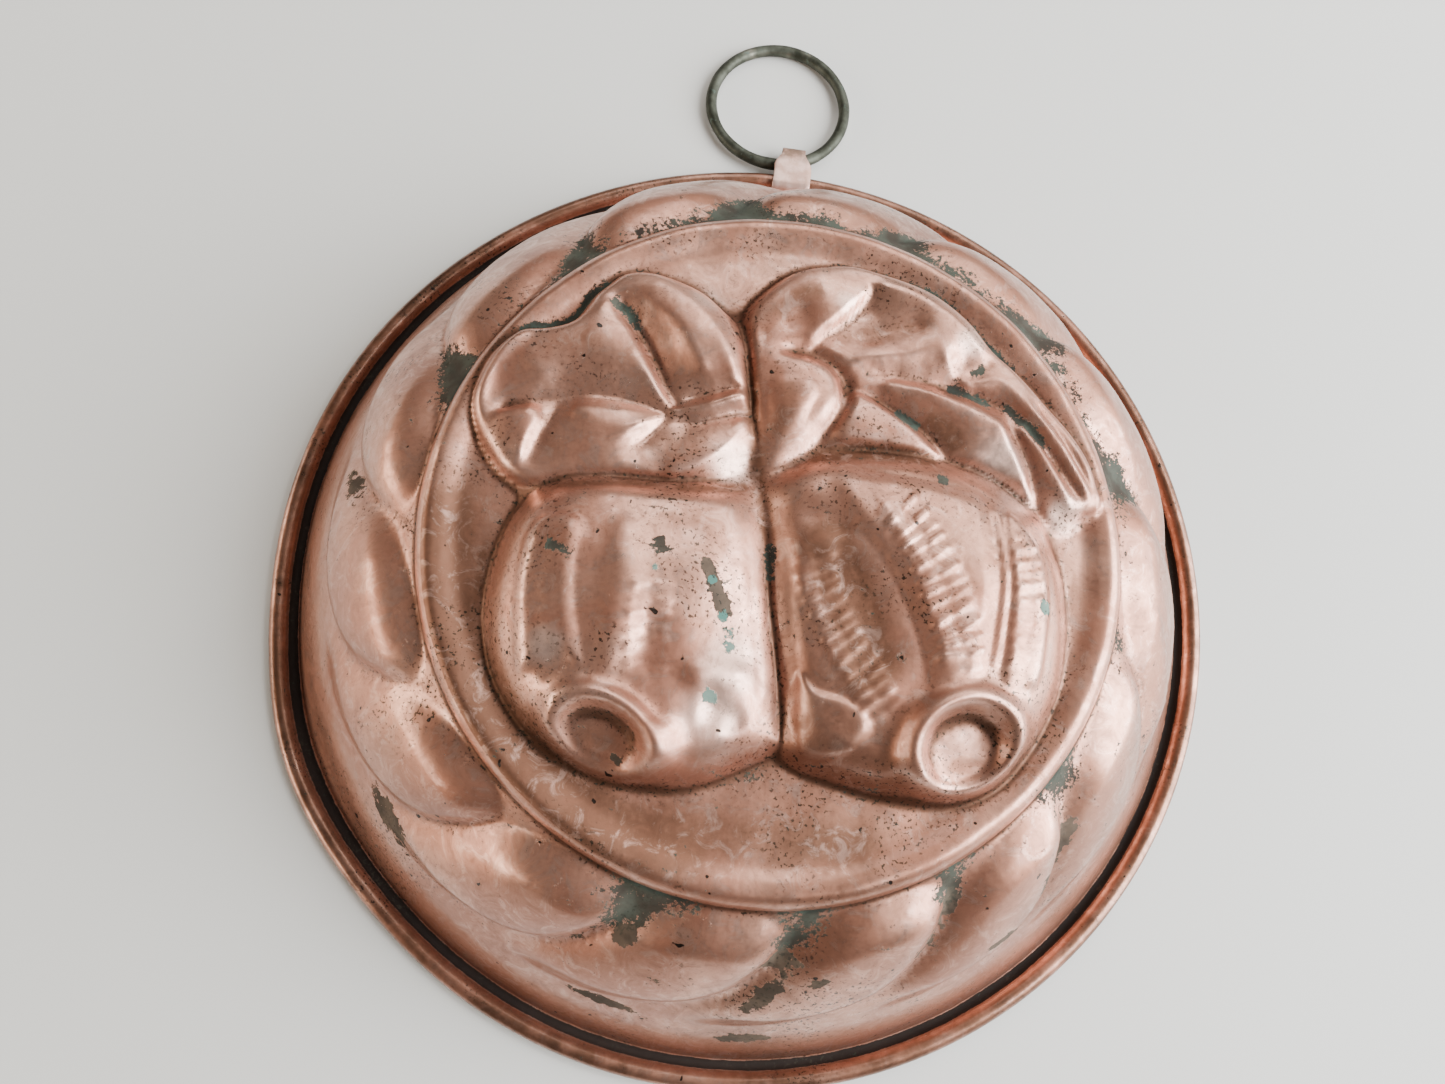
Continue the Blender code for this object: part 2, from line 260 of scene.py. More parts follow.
def stretched(lines, puff, outline, edge):
    """A skin stretched over lines of given height (x, y, height), a little puffed up between them.

    Its outline is held at the edge's height. It is relaxed on a coarse grid first, then on finer ones.
    """
    lines = lines + [[(x, y, edge) for x, y in outline + outline[:1]]]
    step = COARSEST
    skin = None
    while step >= GRID_STEP:
        n = int(round(2 * GRID_HALF / step)) + 1
        total, hits = np.zeros((n, n)), np.zeros((n, n))
        for line in lines:
            dense = curve_through(line, steps=40)
            column = np.rint((dense[:, 0] + GRID_HALF) / step).astype(int)
            row = np.rint((dense[:, 1] + GRID_HALF) / step).astype(int)
            np.add.at(total, (row, column), dense[:, 2])
            np.add.at(hits, (row, column), 1)
        held = hits > 0
        heights = total / np.maximum(hits, 1)
        if skin is None:
            skin = np.full((n, n), heights[held].mean())
        else:
            old = np.linspace(0, n - 1, skin.shape[0])
            skin = np.array([np.interp(np.arange(n), old, row) for row in skin])
            skin = np.array([np.interp(np.arange(n), old, column) for column in skin.T]).T
        for _ in range(RELAX_PASSES):
            p = np.pad(skin, 1, mode="edge")
            mean = (p[:-2, 1:-1] + p[2:, 1:-1] + p[1:-1, :-2] + p[1:-1, 2:]) / 4
            skin = np.where(held, heights, mean + puff * step * step / 4)
        step /= 2
    return softened(SKIN_MIDDLE + SKIN_CONTRAST * (skin - SKIN_MIDDLE), 1)


def softened(grid, passes):
    for _ in range(passes):
        p = np.pad(grid, 1, mode="edge")
        across = (p[1:-1, :-2] + 2 * p[1:-1, 1:-1] + p[1:-1, 2:]) / 4
        p = np.pad(across, 1, mode="edge")
        grid = (p[:-2, 1:-1] + 2 * p[1:-1, 1:-1] + p[2:, 1:-1]) / 4
    return grid


def spread_out(grid, cells):
    """Each cell takes the highest value within a round reach."""
    out = grid.copy()
    padded = np.pad(grid, cells, mode="edge")
    n = grid.shape[0]
    for i in range(-cells, cells + 1):
        for j in range(-cells, cells + 1):
            if i * i + j * j <= cells * cells:
                out = np.maximum(out, padded[cells + i:cells + i + n, cells + j:cells + j + n])
    return out


def closed_up(grid, reach):
    """The grid with every valley narrower than twice the reach filled in."""
    cells = int(round(reach / GRID_STEP))
    return -spread_out(-spread_out(grid, cells), cells)


def read_grid(grid, x, y):
    """The grid's value at each point, blended from the four nearest cells."""
    last = grid.shape[0] - 1.001
    u = np.clip((x + GRID_HALF) / GRID_STEP, 0, last)
    v = np.clip((y + GRID_HALF) / GRID_STEP, 0, last)
    i, j = u.astype(int), v.astype(int)
    u, v = u - i, v - j
    low = grid[j, i] * (1 - u) + grid[j, i + 1] * u
    high = grid[j + 1, i] * (1 - u) + grid[j + 1, i + 1] * u
    return low * (1 - v) + high * v


# Crests and hollows of the leaves: x, y and the height above the plateau
LEFT_LEAF_LINES = [
    [(-39, 49.5, 5.8), (-32, 50.5, 6.6), (-25, 47.5, 7.4), (-19, 42, 7.8), (-14.8, 36, 7.6),
     (-12.6, 30.5, 6.6)],
    [(-33, 47, 6.6), (-27, 43, 7.6), (-22.5, 37, 8), (-19.5, 32.5, 7.4)],
    [(-58, 34.5, 5.4), (-50, 37.2, 6.2), (-45, 40, 6.5), (-41.5, 45.2, 6.6)],
    [(-63, 28, 4.6), (-63.8, 22, 4), (-63, 15, 4.4), (-60.5, 10.5, 4.8), (-56, 6.8, 4.8)],
    [(-51, 6.8, 4.8), (-44, 8.2, 5.4), (-35, 9, 6), (-28, 9, 6.2)],
    [(-24, 8.6, 6.4), (-16.5, 13, 6.8), (-12.2, 17.5, 6.8), (-10.6, 21.5, 6.4)],
    [(-22, 6.9, 3.4), (-14, 8, 2.6), (-8.4, 9.6, 2.2), (-7.2, 15, 2.4)],
    [(-39.2, 46, 3.4), (-35.3, 41.5, 3), (-30.8, 35, 3), (-27.2, 28.5, 3.4),
     (-24.6, 24.2, 4)],
    [(-41, 43.4, 6.2), (-37.4, 39.6, 6.5), (-33.2, 33.6, 6.5), (-29.4, 27.6, 6.2),
     (-26.6, 24.4, 5.4)],
    [(-22.5, 26, 4.4), (-17, 27.9, 4.4), (-12.4, 29.8, 4.6)],
    [(-25.4, 22.6, 5.8), (-20, 23.6, 6.6), (-15, 25.6, 7), (-10.4, 27.6, 7)],
    [(-24, 20.6, 4.4), (-18, 21.4, 4.4), (-12.4, 23.6, 4.2), (-9.6, 24.4, 3.8)],
    [(-22, 16.5, 6), (-16, 17.6, 6.6)],
    [(-26.6, 20.4, 4.4), (-30, 16, 4.4), (-33, 12.6, 5.4)],
    [(-27.4, 21.2, 5.4), (-32, 18.2, 6.8), (-38.5, 14.6, 6.4)],
    [(-26, 22, 4.4), (-32, 23.8, 4), (-40, 24.6, 3.9), (-47, 24, 3.7), (-53, 22.2, 3),
     (-61, 20, 2.6)],
    [(-45, 20.6, 6), (-37, 21.2, 6.2), (-30.5, 21.6, 5.6)],
    [(-48.6, 23, 3.6), (-50.6, 18.5, 3.7), (-52.4, 13, 4.2), (-53.4, 8, 4.4)],
    [(-60.6, 18, 5.2), (-56, 19.2, 5.8), (-53.2, 18.4, 5.8), (-54.6, 13, 6.2), (-55.4, 9, 5.6)],
    [(-57, 31, 6), (-54.5, 29, 6.2), (-52, 26.8, 5.6)],
]
RIGHT_LEAF_LINES = [
    [(-7.4, 43, 4.8), (-6.8, 48, 5.6), (-3.6, 53, 6), (1, 56.4, 6.4), (7, 58, 6.4),
     (12.5, 57.6, 6.2)],
    [(1.2, 41.8, 5), (4.6, 45.6, 6.4), (8.4, 49.2, 6.8), (11.6, 53, 6.8), (13.8, 56.6, 6.2)],
    [(3.6, 41.6, 4), (7.2, 45.2, 3.8), (11, 48.8, 3.8), (14, 53, 4), (15.8, 57, 4.4)],
    [(-3, 46, 4.8), (1, 49.5, 5.4)],
    [(17, 57.8, 6.4), (24, 56.4, 6.8), (31, 53, 7), (36.5, 48.8, 6.8), (40.6, 44.6, 6)],
    [(10, 45, 4.2), (18, 46.5, 4.6), (26, 49.5, 5.2)],
    [(13, 40, 6), (22, 41.4, 6.5), (29, 43.6, 6.8)],
    [(30.8, 46, 6.9), (32.4, 42.4, 6.8), (34.2, 39.4, 5.6)],
    [(35.6, 41, 4.6), (37.4, 42.6, 4.8)],
    [(38, 38.5, 4.2), (40.4, 40.2, 4.2), (43, 42.4, 4.6)],
    [(37, 37.6, 5.6), (41, 38.2, 5.8), (45, 38.6, 5.8), (51, 34.2, 6.2), (56.5, 28.6, 6.2),
     (61.4, 22.4, 6), (65.6, 15.6, 5.2)],
    [(12, 35.6, 4.4), (20, 37.2, 4), (27, 36.9, 3.5), (33, 36.1, 2.9), (40, 35.4, 2.7),
     (44.5, 33.8, 3), (49, 31.8, 3.4), (53.4, 27.4, 3.6), (58, 22, 3.6), (63.4, 15.2, 3.6)],
    [(54, 34.6, 4.4), (60, 27.4, 4.2), (65, 19.4, 4), (67.4, 14.4, 3.8)],
    [(20, 34.6, 5.8), (28, 33.6, 6.9), (36, 31.4, 7.4), (42, 29.2, 7.4)],
    [(12, 33.6, 4.6), (18, 31.2, 3.5), (24, 28.2, 3), (29, 25, 3.2), (32.8, 21.4, 3.6),
     (36, 17.4, 4.2)],
    [(13.2, 31.6, 6), (20, 28, 6.5), (27, 23.2, 6.5), (33, 18.4, 5.4)],
    [(37.2, 17.6, 4.8), (40.4, 22.8, 6.4), (43.8, 28.4, 7.6), (47.4, 23, 7), (50.4, 17, 6.2),
     (53, 11.6, 4.8)],
    [(40, 15.6, 3.2), (46, 12, 2.8), (51.6, 8.4, 2.4)],
    [(45.8, 31.4, 4.4), (49.6, 26, 3.9), (52.4, 19.5, 3.6), (54.2, 13, 3.4), (55.2, 8.6, 3.2)],
    [(50.4, 28.8, 5.6), (54.8, 23.4, 6.2), (58.2, 18, 6.2), (61.4, 13.6, 5.6), (66, 13.6, 4.6)],
    [(58, 7.8, 2.8), (62, 9.6, 3), (66.4, 12.6, 3)],
    [(9.6, 21.8, 6.2), (18, 21.4, 6.4), (26, 20.8, 6.2), (31.4, 18.6, 5.4)],
    [(8, 17.4, 2.2), (16, 18.2, 2.2), (26, 18.2, 2.2), (33.4, 17.2, 2.6)],
]


LEFT_LEAF_MARKS = [(ladder, [(-24, 22.9), (-20, 23.6), (-15, 25.6), (-10.6, 27.5)], 1.6, 15, 0.35)]
LEAF_EDGE = 4.6
LEAF_PUFF = 0.05


def pressed(x, y, marks):
    """The sum of some marks, each given as its shape and that shape's values."""
    return sum(shape(x, y, *values) for shape, *values in marks)


def leaf(x, y, outline, lines, marks=()):
    skin = stretched(lines, LEAF_PUFF, outline, LEAF_EDGE) + pressed(x, y, marks)
    return skin * round_rise(outline_depth(x, y, outline), 3.0)


def bud(x, y):
    depth = softened(np.maximum(outline_depth(x, y, BUD), -1.0), 24)
    swelling = ridge(x, y, [(6, 36), (5, 32), (3, 26), (0, 19)], 1.0, 3.5, 0.3)
    return BUD_HEIGHT * (0.40 * round_rise(depth, 2.6) + 0.60 * round_rise(depth, 8.5)) + swelling


def fruit_dome(depth):
    """A dome from the depth inside its outline, with the depth's own ridges smoothed away."""
    smooth = softened(np.maximum(depth, 0.0), 90)
    depth = depth + (smooth - depth) * smooth_step(depth, 1.0, 7.0)
    return FRUIT_HEIGHT * (0.56 * round_rise(depth, 9.0) + 0.44 * round_rise(depth, 27.0))


LEFT_FRUIT_MARKS = [
    (band, [(-51, -7), (-46, -3), (-40, -4.5), (-40, -14), (-39, -22), (-37, -29), (-36.5, -33.5),
            (-42, -32.5), (-49, -36), (-51, -27), (-52, -16)], 1.2, 3.0),
    (ridge, [(-31, 0), (-31, -12), (-31, -24), (-33, -36)], 1.1, 4.0, 0.2),
    (ridge, [(-24, -20), (-24, -28), (-24, -36)], -0.9, 3.4, 0.3),
    (ladder, [(-24.5, -15), (-25, -24), (-24, -35)], 5.0, 7, 0.5),
    (ladder, [(-46, -8), (-47, -20), (-44, -32)], 4.0, 8, 0.3),
    (calyx, (-31.2, -46.4), (13.2, 9.2), -25, 3.4, 2.2),
    (ridge, [(-19, -52), (-18, -46), (-21, -40)], 1.6, 2.6, 0.3),
    (ridge, [(-3, -29), (-7, -32), (-13, -32), (-18, -35)], 1.3, 3.0, 0.3),
    (ridge, [(-3, -42), (-8, -39.5), (-14, -39)], -1.2, 2.6, 0.3),
]
RIGHT_FRUIT_MARKS = [
    (band, [(9, 12), (22, 13), (34, 12), (41.5, 9.5), (43, 0), (44, -8), (43.2, -18), (41.8, -26.5),
            (36, -29), (31, -30.5), (29.2, -24), (25.2, -14), (19, -4), (12, 3)], 1.3, 4.0),
    (band, [(45.5, 8), (50, 5.5), (54, -1), (55.3, -9), (55, -17), (53.5, -27), (48, -29),
            (44.8, -27.5), (45.4, -18), (46, -8), (45, 0)], 1.3),
    (ridge, [(8, -2), (14, -12), (19, -24), (21, -33)], -1.5, 6.0, 0.25),
    (ridge, [(1.5, 3), (9, 2), (14, -3)], -0.8, 2.0, 0.2),
    (ridge, [(16, 11), (20, 5), (23, 0.5), (27, -4.5), (31, -10)], 0.25, 0.9, 0.2),
    (ladder, [(20.5, 8), (26, 1), (30, -6), (33, -13), (36, -20), (37, -28)], 5.6, 14, 1.0),
    (ladder, [(6, 0), (7.5, -10), (12, -20), (18, -29), (23, -37)], 4.8, 16, 0.9),
    (ladder, [(48.8, 4), (50.4, -8), (50.2, -18), (48.8, -27.5)], 4.2, 12, 0.9),
    (ridge, [(43, 9), (44.4, 0), (45, -8), (44.2, -18), (43, -26)], 1.0, 0.9, 0.05),
    (band, [(5.5, -29), (9, -32.5), (15, -34), (20, -38), (17, -44), (9, -46), (5.6, -40)], 1.0),
    (calyx, (39.2, -40.8), (13.4, 11.6), 25, 3.8, 2.8),
]


def fruit(x, y, outline, marks):
    depth = outline_depth(x, y, outline)
    return fruit_dome(depth) + pressed(x, y, marks) * smooth_step(depth, 0.5, 5.0)


def plateau_relief():
    """Height of the pressed relief above the plateau's floor, on the grid."""
    axis = np.arange(-GRID_HALF, GRID_HALF + GRID_STEP / 2, GRID_STEP)
    x, y = np.meshgrid(axis, axis)
    height = np.zeros(x.shape)
    for shape in (leaf(x, y, LEFT_LEAF, LEFT_LEAF_LINES, LEFT_LEAF_MARKS),
                  leaf(x, y, RIGHT_LEAF, RIGHT_LEAF_LINES),
                  fruit(x, y, LEFT_FRUIT, LEFT_FRUIT_MARKS),
                  fruit(x, y, RIGHT_FRUIT, RIGHT_FRUIT_MARKS)):
        height = np.maximum(height, shape)
    height += 0.4 * (closed_up(height, 4.0) - height)
    around_bud = bell((outline_depth(x, y, BUD) + 0.8) / 1.8) * smooth_step(x, -6.0, 0.0)
    height -= 1.9 * around_bud * smooth_step(height, 2.0, 5.0)
    height = np.maximum(height, bud(x, y))
    middle = 1 - smooth_step(np.hypot(x, y - 8.0), 8.0, 20.0)
    return height * (1 - middle) + softened(height, 14) * middle


RELIEF = plateau_relief()
# Above zero in the hollows and creases, below zero on the crests
HOLLOWS = softened(RELIEF, 30) - RELIEF


# --- The drops on the wall ---


def drop_place(theta_deg, t):
    """Which drop a point of the wall lies on, and how far across it, 0 to 1."""
    swept = theta_deg + DROP_SWEEP_DEG * t**1.15
    starts = np.array(DROP_VALLEYS_DEG, dtype=float)
    index = np.searchsorted(starts, swept % 360.0, side="right") - 1
    low = starts[index]
    high = np.append(starts, starts[0] + 360.0)[index % len(starts) + 1]
    return index, ((swept - low) % 360.0) / ((high - low) % 360.0)


def drop_relief(theta_deg, t):
    """Height of the drops above the wall: tongues that lean clockwise as they run down it."""
    index, across = drop_place(theta_deg, t)
    centred = 2 * across**1.2 - 1
    head = round_rise(t - 0.01 - 0.10 * np.abs(centred) ** 3, 0.15)
    fullness = 1 - 0.9 * smooth_step(t, 0.16, 0.98)
    tip = 0.66 - 0.2 * across**3
    tail = 1 - smooth_step(t, tip - 0.17, tip + 0.02)
    hand_made = 1 + 0.1 * np.sin(2.4 * index + 1.0)
    round_across = np.clip(1 - np.abs(centred) ** 2.6, 0.0, 1.0) ** 0.75
    return DROP_HEIGHT * hand_made * round_across * head * fullness * tail


# --- The sheet: its outer face as a function of the length along the profile and the angle ---


def arc(centre, radius, start_deg, end_deg, steps):
    angles = np.radians(np.linspace(start_deg, end_deg, steps + 1))
    return [(centre[0] + radius * math.cos(a), centre[1] + radius * math.sin(a)) for a in angles]


def wall_point(t):
    """The wall is a flat parabola, from the crease at t = 0 to the foot at t = 1."""
    pull_r, pull_z = WALL_PULL
    r = (1 - t) ** 2 * CREASE_R + 2 * t * (1 - t) * pull_r + t**2 * FOOT_R
    z = (1 - t) ** 2 * CREASE_Z + 2 * t * (1 - t) * pull_z + t**2 * FOOT_Z
    return r, z


def wall_place(r):
    """The wall's t at a radius, and the direction of its outer normal there."""
    pull_r, pull_z = WALL_PULL
    a = CREASE_R - 2 * pull_r + FOOT_R
    b = 2 * (pull_r - CREASE_R)
    inside = np.clip(r - CREASE_R, 0.0, FOOT_R - CREASE_R)
    t = (b - np.sqrt(b * b + 4 * a * inside)) / (-2 * a)
    along_r = (1 - t) * (pull_r - CREASE_R) + t * (FOOT_R - pull_r)
    along_z = (1 - t) * (pull_z - CREASE_Z) + t * (FOOT_Z - pull_z)
    length = np.hypot(along_r, along_z)
    return t, -along_z / length, along_r / length


def sheet_profile():
    """The plain turned profile, from the axis to the end of the roll, as dense points."""
    edge = curve_through([(64.0, PLATEAU_Z), (67.0, PLATEAU_Z + 0.2), (70.2, EDGE_Z - 0.3),
                          (72.6, EDGE_Z), (74.4, EDGE_Z - 1.3), (75.3, EDGE_Z - 3.0),
                          (CREASE_R, CREASE_Z)])
    points = [(0.0, PLATEAU_Z)] + [tuple(p) for p in edge]
    points += [wall_point(t) for t in np.linspace(0.02, 1, 50)]
    points += arc((FOOT_R + 0.8, SHEET + 0.8), 0.8, 180, 270, 6)
    points += arc((ROLL_R - ROLL_RADIUS - 1.0, SHEET + 1.0), 1.0, 270, 360, 6)
    points += arc((ROLL_R, ROLL_RADIUS), ROLL_RADIUS, 180, ROLL_END_DEG, 40)[1:]
    return np.array(points)


PROFILE = sheet_profile()
PROFILE_LENGTH = np.concatenate([[0.0], np.cumsum(np.hypot(*np.diff(PROFILE, axis=0).T))])
SHEET_LENGTH = PROFILE_LENGTH[-1]


def radius_at(length):
    return np.interp(length, PROFILE_LENGTH, PROFILE[:, 0])


def length_at_radius(radius):
    """Length along the profile where it first reaches a radius."""
    return float(np.interp(radius, np.maximum.accumulate(PROFILE[:, 0]), PROFILE_LENGTH))


TOP_R = 74.0
RELIEF_R = 69.5
WALL_START = length_at_radius(CREASE_R)
WALL_END = length_at_radius(FOOT_R - 0.001)


def rim_bend(theta):
    """The old rim isn't quite round: it is bent out at one place and pushed in at another."""
    degrees = np.degrees(theta) % 360.0
    out = 1.9 * bell((degrees - 208.0) / 13.0)
    pushed_in = -1.1 * bell((degrees - 125.0) / 28.0)
    return out + pushed_in


def sheet_surface(length, theta):
    """Points of the outer face, in millimetres."""
    r0 = radius_at(length)
    z0 = np.interp(length, PROFILE_LENGTH, PROFILE[:, 1])
    t, normal_r, normal_z = wall_place(r0)
    on_wall = (length > WALL_START) & (length < WALL_END)
    bulge = np.where(on_wall, drop_relief(np.degrees(theta), t), 0.0)
    x, y = r0 * np.cos(theta), r0 * np.sin(theta)
    dents = 0.35 * np.sin(0.061 * x + 0.9) * np.sin(0.073 * y - 0.4)
    dents += 0.12 * np.sin(0.19 * x - 0.31 * y) * np.sin(0.27 * x + 0.16 * y + 1.0)
    calm = 1 - smooth_step(length, WALL_END - 12.0, WALL_END)
    floor = read_grid(RELIEF, x, y) * (1 - smooth_step(r0, RELIEF_R, 73.0)) * (r0 < TOP_R)
    r = r0 + bulge * normal_r + rim_bend(theta) * smooth_step(length, WALL_END - 6, WALL_END + 4)
    z = z0 + bulge * normal_z + floor + dents * calm
    return np.stack([r * np.cos(theta), r * np.sin(theta), z], axis=-1)


def sheet_normal(length, theta):
    step = 0.15
    angle = step / np.maximum(radius_at(length), 2.0)
    down = sheet_surface(np.minimum(length + step, SHEET_LENGTH), theta)
    down = down - sheet_surface(np.maximum(length - step, 0.0), theta)
    round_ = sheet_surface(length, theta + angle) - sheet_surface(length, theta - angle)
    normal = np.cross(down, round_)
    normal /= np.maximum(np.linalg.norm(normal, axis=-1, keepdims=True), 1e-9)
    return normal


SECTORS = 360


def sector_count(radius):
    """Fewer sectors near the axis, so that the faces stay nearly square."""
    for count, least in ((SECTORS, 24.0), (SECTORS // 2, 12.0), (SECTORS // 4, 5.0)):
        if radius >= least:
            return count
    return SECTORS // 8


def ring_lengths(spacings):
    """Lengths along the profile for the rings, given (up to length, spacing) pairs."""
    lengths = []
    start = 0.0
    for end, spacing in spacings:
        steps = max(1, round((end - start) / spacing))
        lengths += [start + (end - start) * i / steps for i in range(steps)]
        start = end
    return lengths[1:] + [SHEET_LENGTH]


OUTER_RINGS = ring_lengths([(length_at_radius(RELIEF_R), 0.56), (WALL_START + 2.0, 0.5),
                            (WALL_START + 42.0, 1.05), (WALL_END - 1.0, 1.8), (SHEET_LENGTH, 0.9)])
INNER_RINGS = ring_lengths([(length_at_radius(RELIEF_R), 1.2), (WALL_START + 2.0, 1.3),
                            (WALL_START + 42.0, 3.0), (WALL_END - 1.0, 5.0), (SHEET_LENGTH, 1.5)])


def sheet_face(lengths, offset):
    """Vertices and faces of one face of the sheet, moved inwards by the offset."""
    counts, all_lengths, all_angles = [1], [np.zeros(1)], [np.zeros(1)]
    for length in lengths:
        count = sector_count(radius_at(length))
        counts.append(count)
        all_lengths.append(np.full(count, length))
        all_angles.append(np.arange(count) * math.tau / count)
    length, theta = np.concatenate(all_lengths), np.concatenate(all_angles)
    points = sheet_surface(length, theta)
    if offset:
        normals = sheet_normal(length, theta)
        normals[0] = (0.0, 0.0, 1.0)
        points = points - offset * normals
    first = 1
    n = counts[1]
    faces = [(0, 1 + i, 1 + (i + 1) % n) for i in range(n)]
    for inner, outer in zip(counts[1:], counts[2:]):
        second = first + inner
        ratio = outer // inner
        for i in range(inner):
            a, b = first + i, first + (i + 1) % inner
            if ratio == 1:
                faces.append((a, second + i, second + (i + 1) % outer, b))
            else:
                c, d, e = second + 2 * i, second + 2 * i + 1, second + (2 * i + 2) % outer
                faces += [(a, c, d), (a, d, b), (b, d, e)]
        first = second
    return points, faces, first, (length, theta)


# --- Marks on the sheet, kept as values on its vertices ---


def sheet_marks(length, theta):
    """How strongly each kind of mark shows at each vertex, 0 to 1."""
    r0 = radius_at(length)
    flat_x, flat_y = r0 * np.cos(theta), r0 * np.sin(theta)
    on_top = r0 < TOP_R
    hollow = read_grid(HOLLOWS, flat_x, flat_y) * on_top
    # Painted shade: creases and hollows of the relief, the wall's crease and the valleys between the drops
    # are darkened in the colour
    crease = np.clip(hollow, 0.0, 1.0)
    crease = np.maximum(crease, bell((length - WALL_START) / 1.3))
    t = wall_place(r0)[0]
    on_wall = (length > WALL_START - 0.5) & (length < WALL_END)
    across = drop_place(np.degrees(theta), t)[1]
    valley = bell((0.5 - np.abs(across - 0.5)) / 0.06) * (1 - smooth_step(t, 0.3, 0.6))
    crease = np.maximum(crease, 0.6 * valley * on_wall)
    # Painted shade: the gutter between the wall's foot and the roll is painted nearly black
    gutter = smooth_step(length, WALL_END + 0.2, WALL_END + 1.6)
    gutter = gutter * (1 - smooth_step(length, WALL_END + 2.8, WALL_END + 4.4))
    rolled = smooth_step(length, WALL_END + 4.0, WALL_END + 6.0)
    return {
        "crease": crease,
        "gutter": gutter,
        "verdigris": verdigris_mark(theta, t, on_wall, flat_x, flat_y),
        "turquoise": spots(flat_x, flat_y, TURQUOISE_SPOTS) * on_top,
        "patch": np.maximum(patch_mark(theta, t, on_wall), brushed(flat_x, flat_y, STAINS) * on_top),
        "rolled": rolled,
        # Lighter on the rubbed crests, and painted highlights at the listed spots
        "rubbed": np.maximum(np.clip(-hollow / 1.2, 0.0, 0.35), spots(flat_x, flat_y, HIGHLIGHT_SPOTS) * on_top),
        # Brown tarnish, partly painted shade under leaf edges and on the left-facing flanks and floor
        "tarnish_and_shade": brushed(flat_x, flat_y, TARNISH_AND_SHADE) * on_top,
        "speckled": spots(flat_x, flat_y, SPECKLED) * on_top,
    }


# Angle of each valley's start, and how much verdigris sits in it, from 0 to 1
VERDIGRIS_AT = {19: 0.9, 48: 1.0, 75: 1.0, 103: 1.0, 131: 0.8, 160: 0.8, 185: 0.1, 211: 0.1,
                234: 0.1, 257: 0.8, 280: 0.6, 304: 0.5, 326: 0.6, 351: 0.3}
TURQUOISE_SPOTS = [((-13.4, -13.6), 1.5), ((-10.4, -20.5), 1.9), ((-9.2, -23.6), 2.2),
                   ((-8.8, -26.4), 2.6), ((-11.5, -36.5), 1.9), ((54.0, -11.5), 2.7),
                   ((-24.8, -12.8), 1.2)]
GREEN_LINES = [
    [(-41, 47), (-37, 44), (-33.5, 40)],
    [(33, 36.2), (38, 35.4), (44, 33)],
    [(46, 34), (52, 29), (57, 23.5)],
    [(-6, 57.5), (2, 61.5), (10, 64), (18, 63), (28, 60.5), (36, 56), (44, 48.5), (52, 41.5)],
    [(22, 29), (28, 25.6)],
    [(-62, 38), (-55, 40.5), (-50, 42), (-46, 48), (-41, 54)],
    [(-38, 55.5), (-30, 55.2), (-24, 53.6)],
    [(-2.4, -3), (-1.2, -12)], [(-47, -10.6), (-43, -11.4), (-41, -13)], [(31, 13.6), (33.4, 13)],
    [(-24.6, -6), (-23.6, -10)], [(-58, 39), (-50, 42)], [(38.4, 39.6), (41.8, 42)],
]


# Brown tarnish and painted shade on the top, such as shadows under leaf edges and the darker left-facing
# flanks and floor: a path, its half width and its strength
TARNISH_AND_SHADE = [
    ([(6, 3), (12, -10), (17, -22), (21, -34)], 7.5, 1.0),
    ([(-9.5, 38), (-9, 28), (-7, 17), (-5, 8), (-3, -4), (-1, -16)], 2.2, 0.8),
    ([(-24, 5.5), (-14, 6.6), (-6, 9)], 1.8, 0.8), ([(-50, 3), (-36, 5), (-24, 6)], 1.6, 0.7),
    ([(2, 15), (12, 18), (24, 19), (34, 18)], 2.4, 1.0),
    ([(37, 21), (33, 26), (28, 28)], 3.2, 0.8), ([(6, 45), (16, 46), (27, 50)], 4.5, 0.55),
    ([(-5, 46), (-2, 52), (6, 55)], 4.0, 0.6), ([(-2, 33), (-1, 25), (-3, 18)], 4.5, 0.6),
    ([(-67, 12), (-68, -10), (-62, -32), (-48, -50), (-28, -62), (0, -66)], 8.0, 1.0),
    ([(-30, -60), (0, -62), (30, -60)], 7.0, 0.7), ([(-48, -4), (-42, -16), (-40, -28)], 8.0, 0.5),
    ([(-30, -2), (-12, -2)], 6.0, 0.4), ([(-22, -12), (-21, -28)], 6.0, 0.35),
    ([(60, -30), (50, -46), (30, -58)], 3.0, 0.5), ([(-20, 44), (-16, 36)], 4.0, 0.4),
    ([(-56, 32), (-46, 36), (-40, 34)], 4.0, 0.5), ([(-52, 20), (-50, 12), (-46, 10)], 4.0, 0.5),
    ([(-38, 30), (-34, 40), (-36, 46)], 2.4, 0.6), ([(28, -2), (36, -12), (30, 4)], 6.0, 0.45),
    ([(-28, -12), (-23, -24), (-24, -34)], 4.0, 0.35), ([(-60, -6), (-60, -24), (-54, -40)], 2.0, 0.8),
    ([(64, 4), (66, -14), (62, -34), (50, -50)], 3.0, 0.45), ([(5, -38), (12, -42), (20, -40)], 5.0, 0.5),
]
STAINS = [([(-15.6, -9), (-13, -14), (-10.4, -19), (-9.6, -22)], 1.9, 1.0),
          ([(15.5, 37), (16, 36.6)], 0.9, 1.0), ([(-29, -49), (-26, -51)], 1.2, 0.8)]
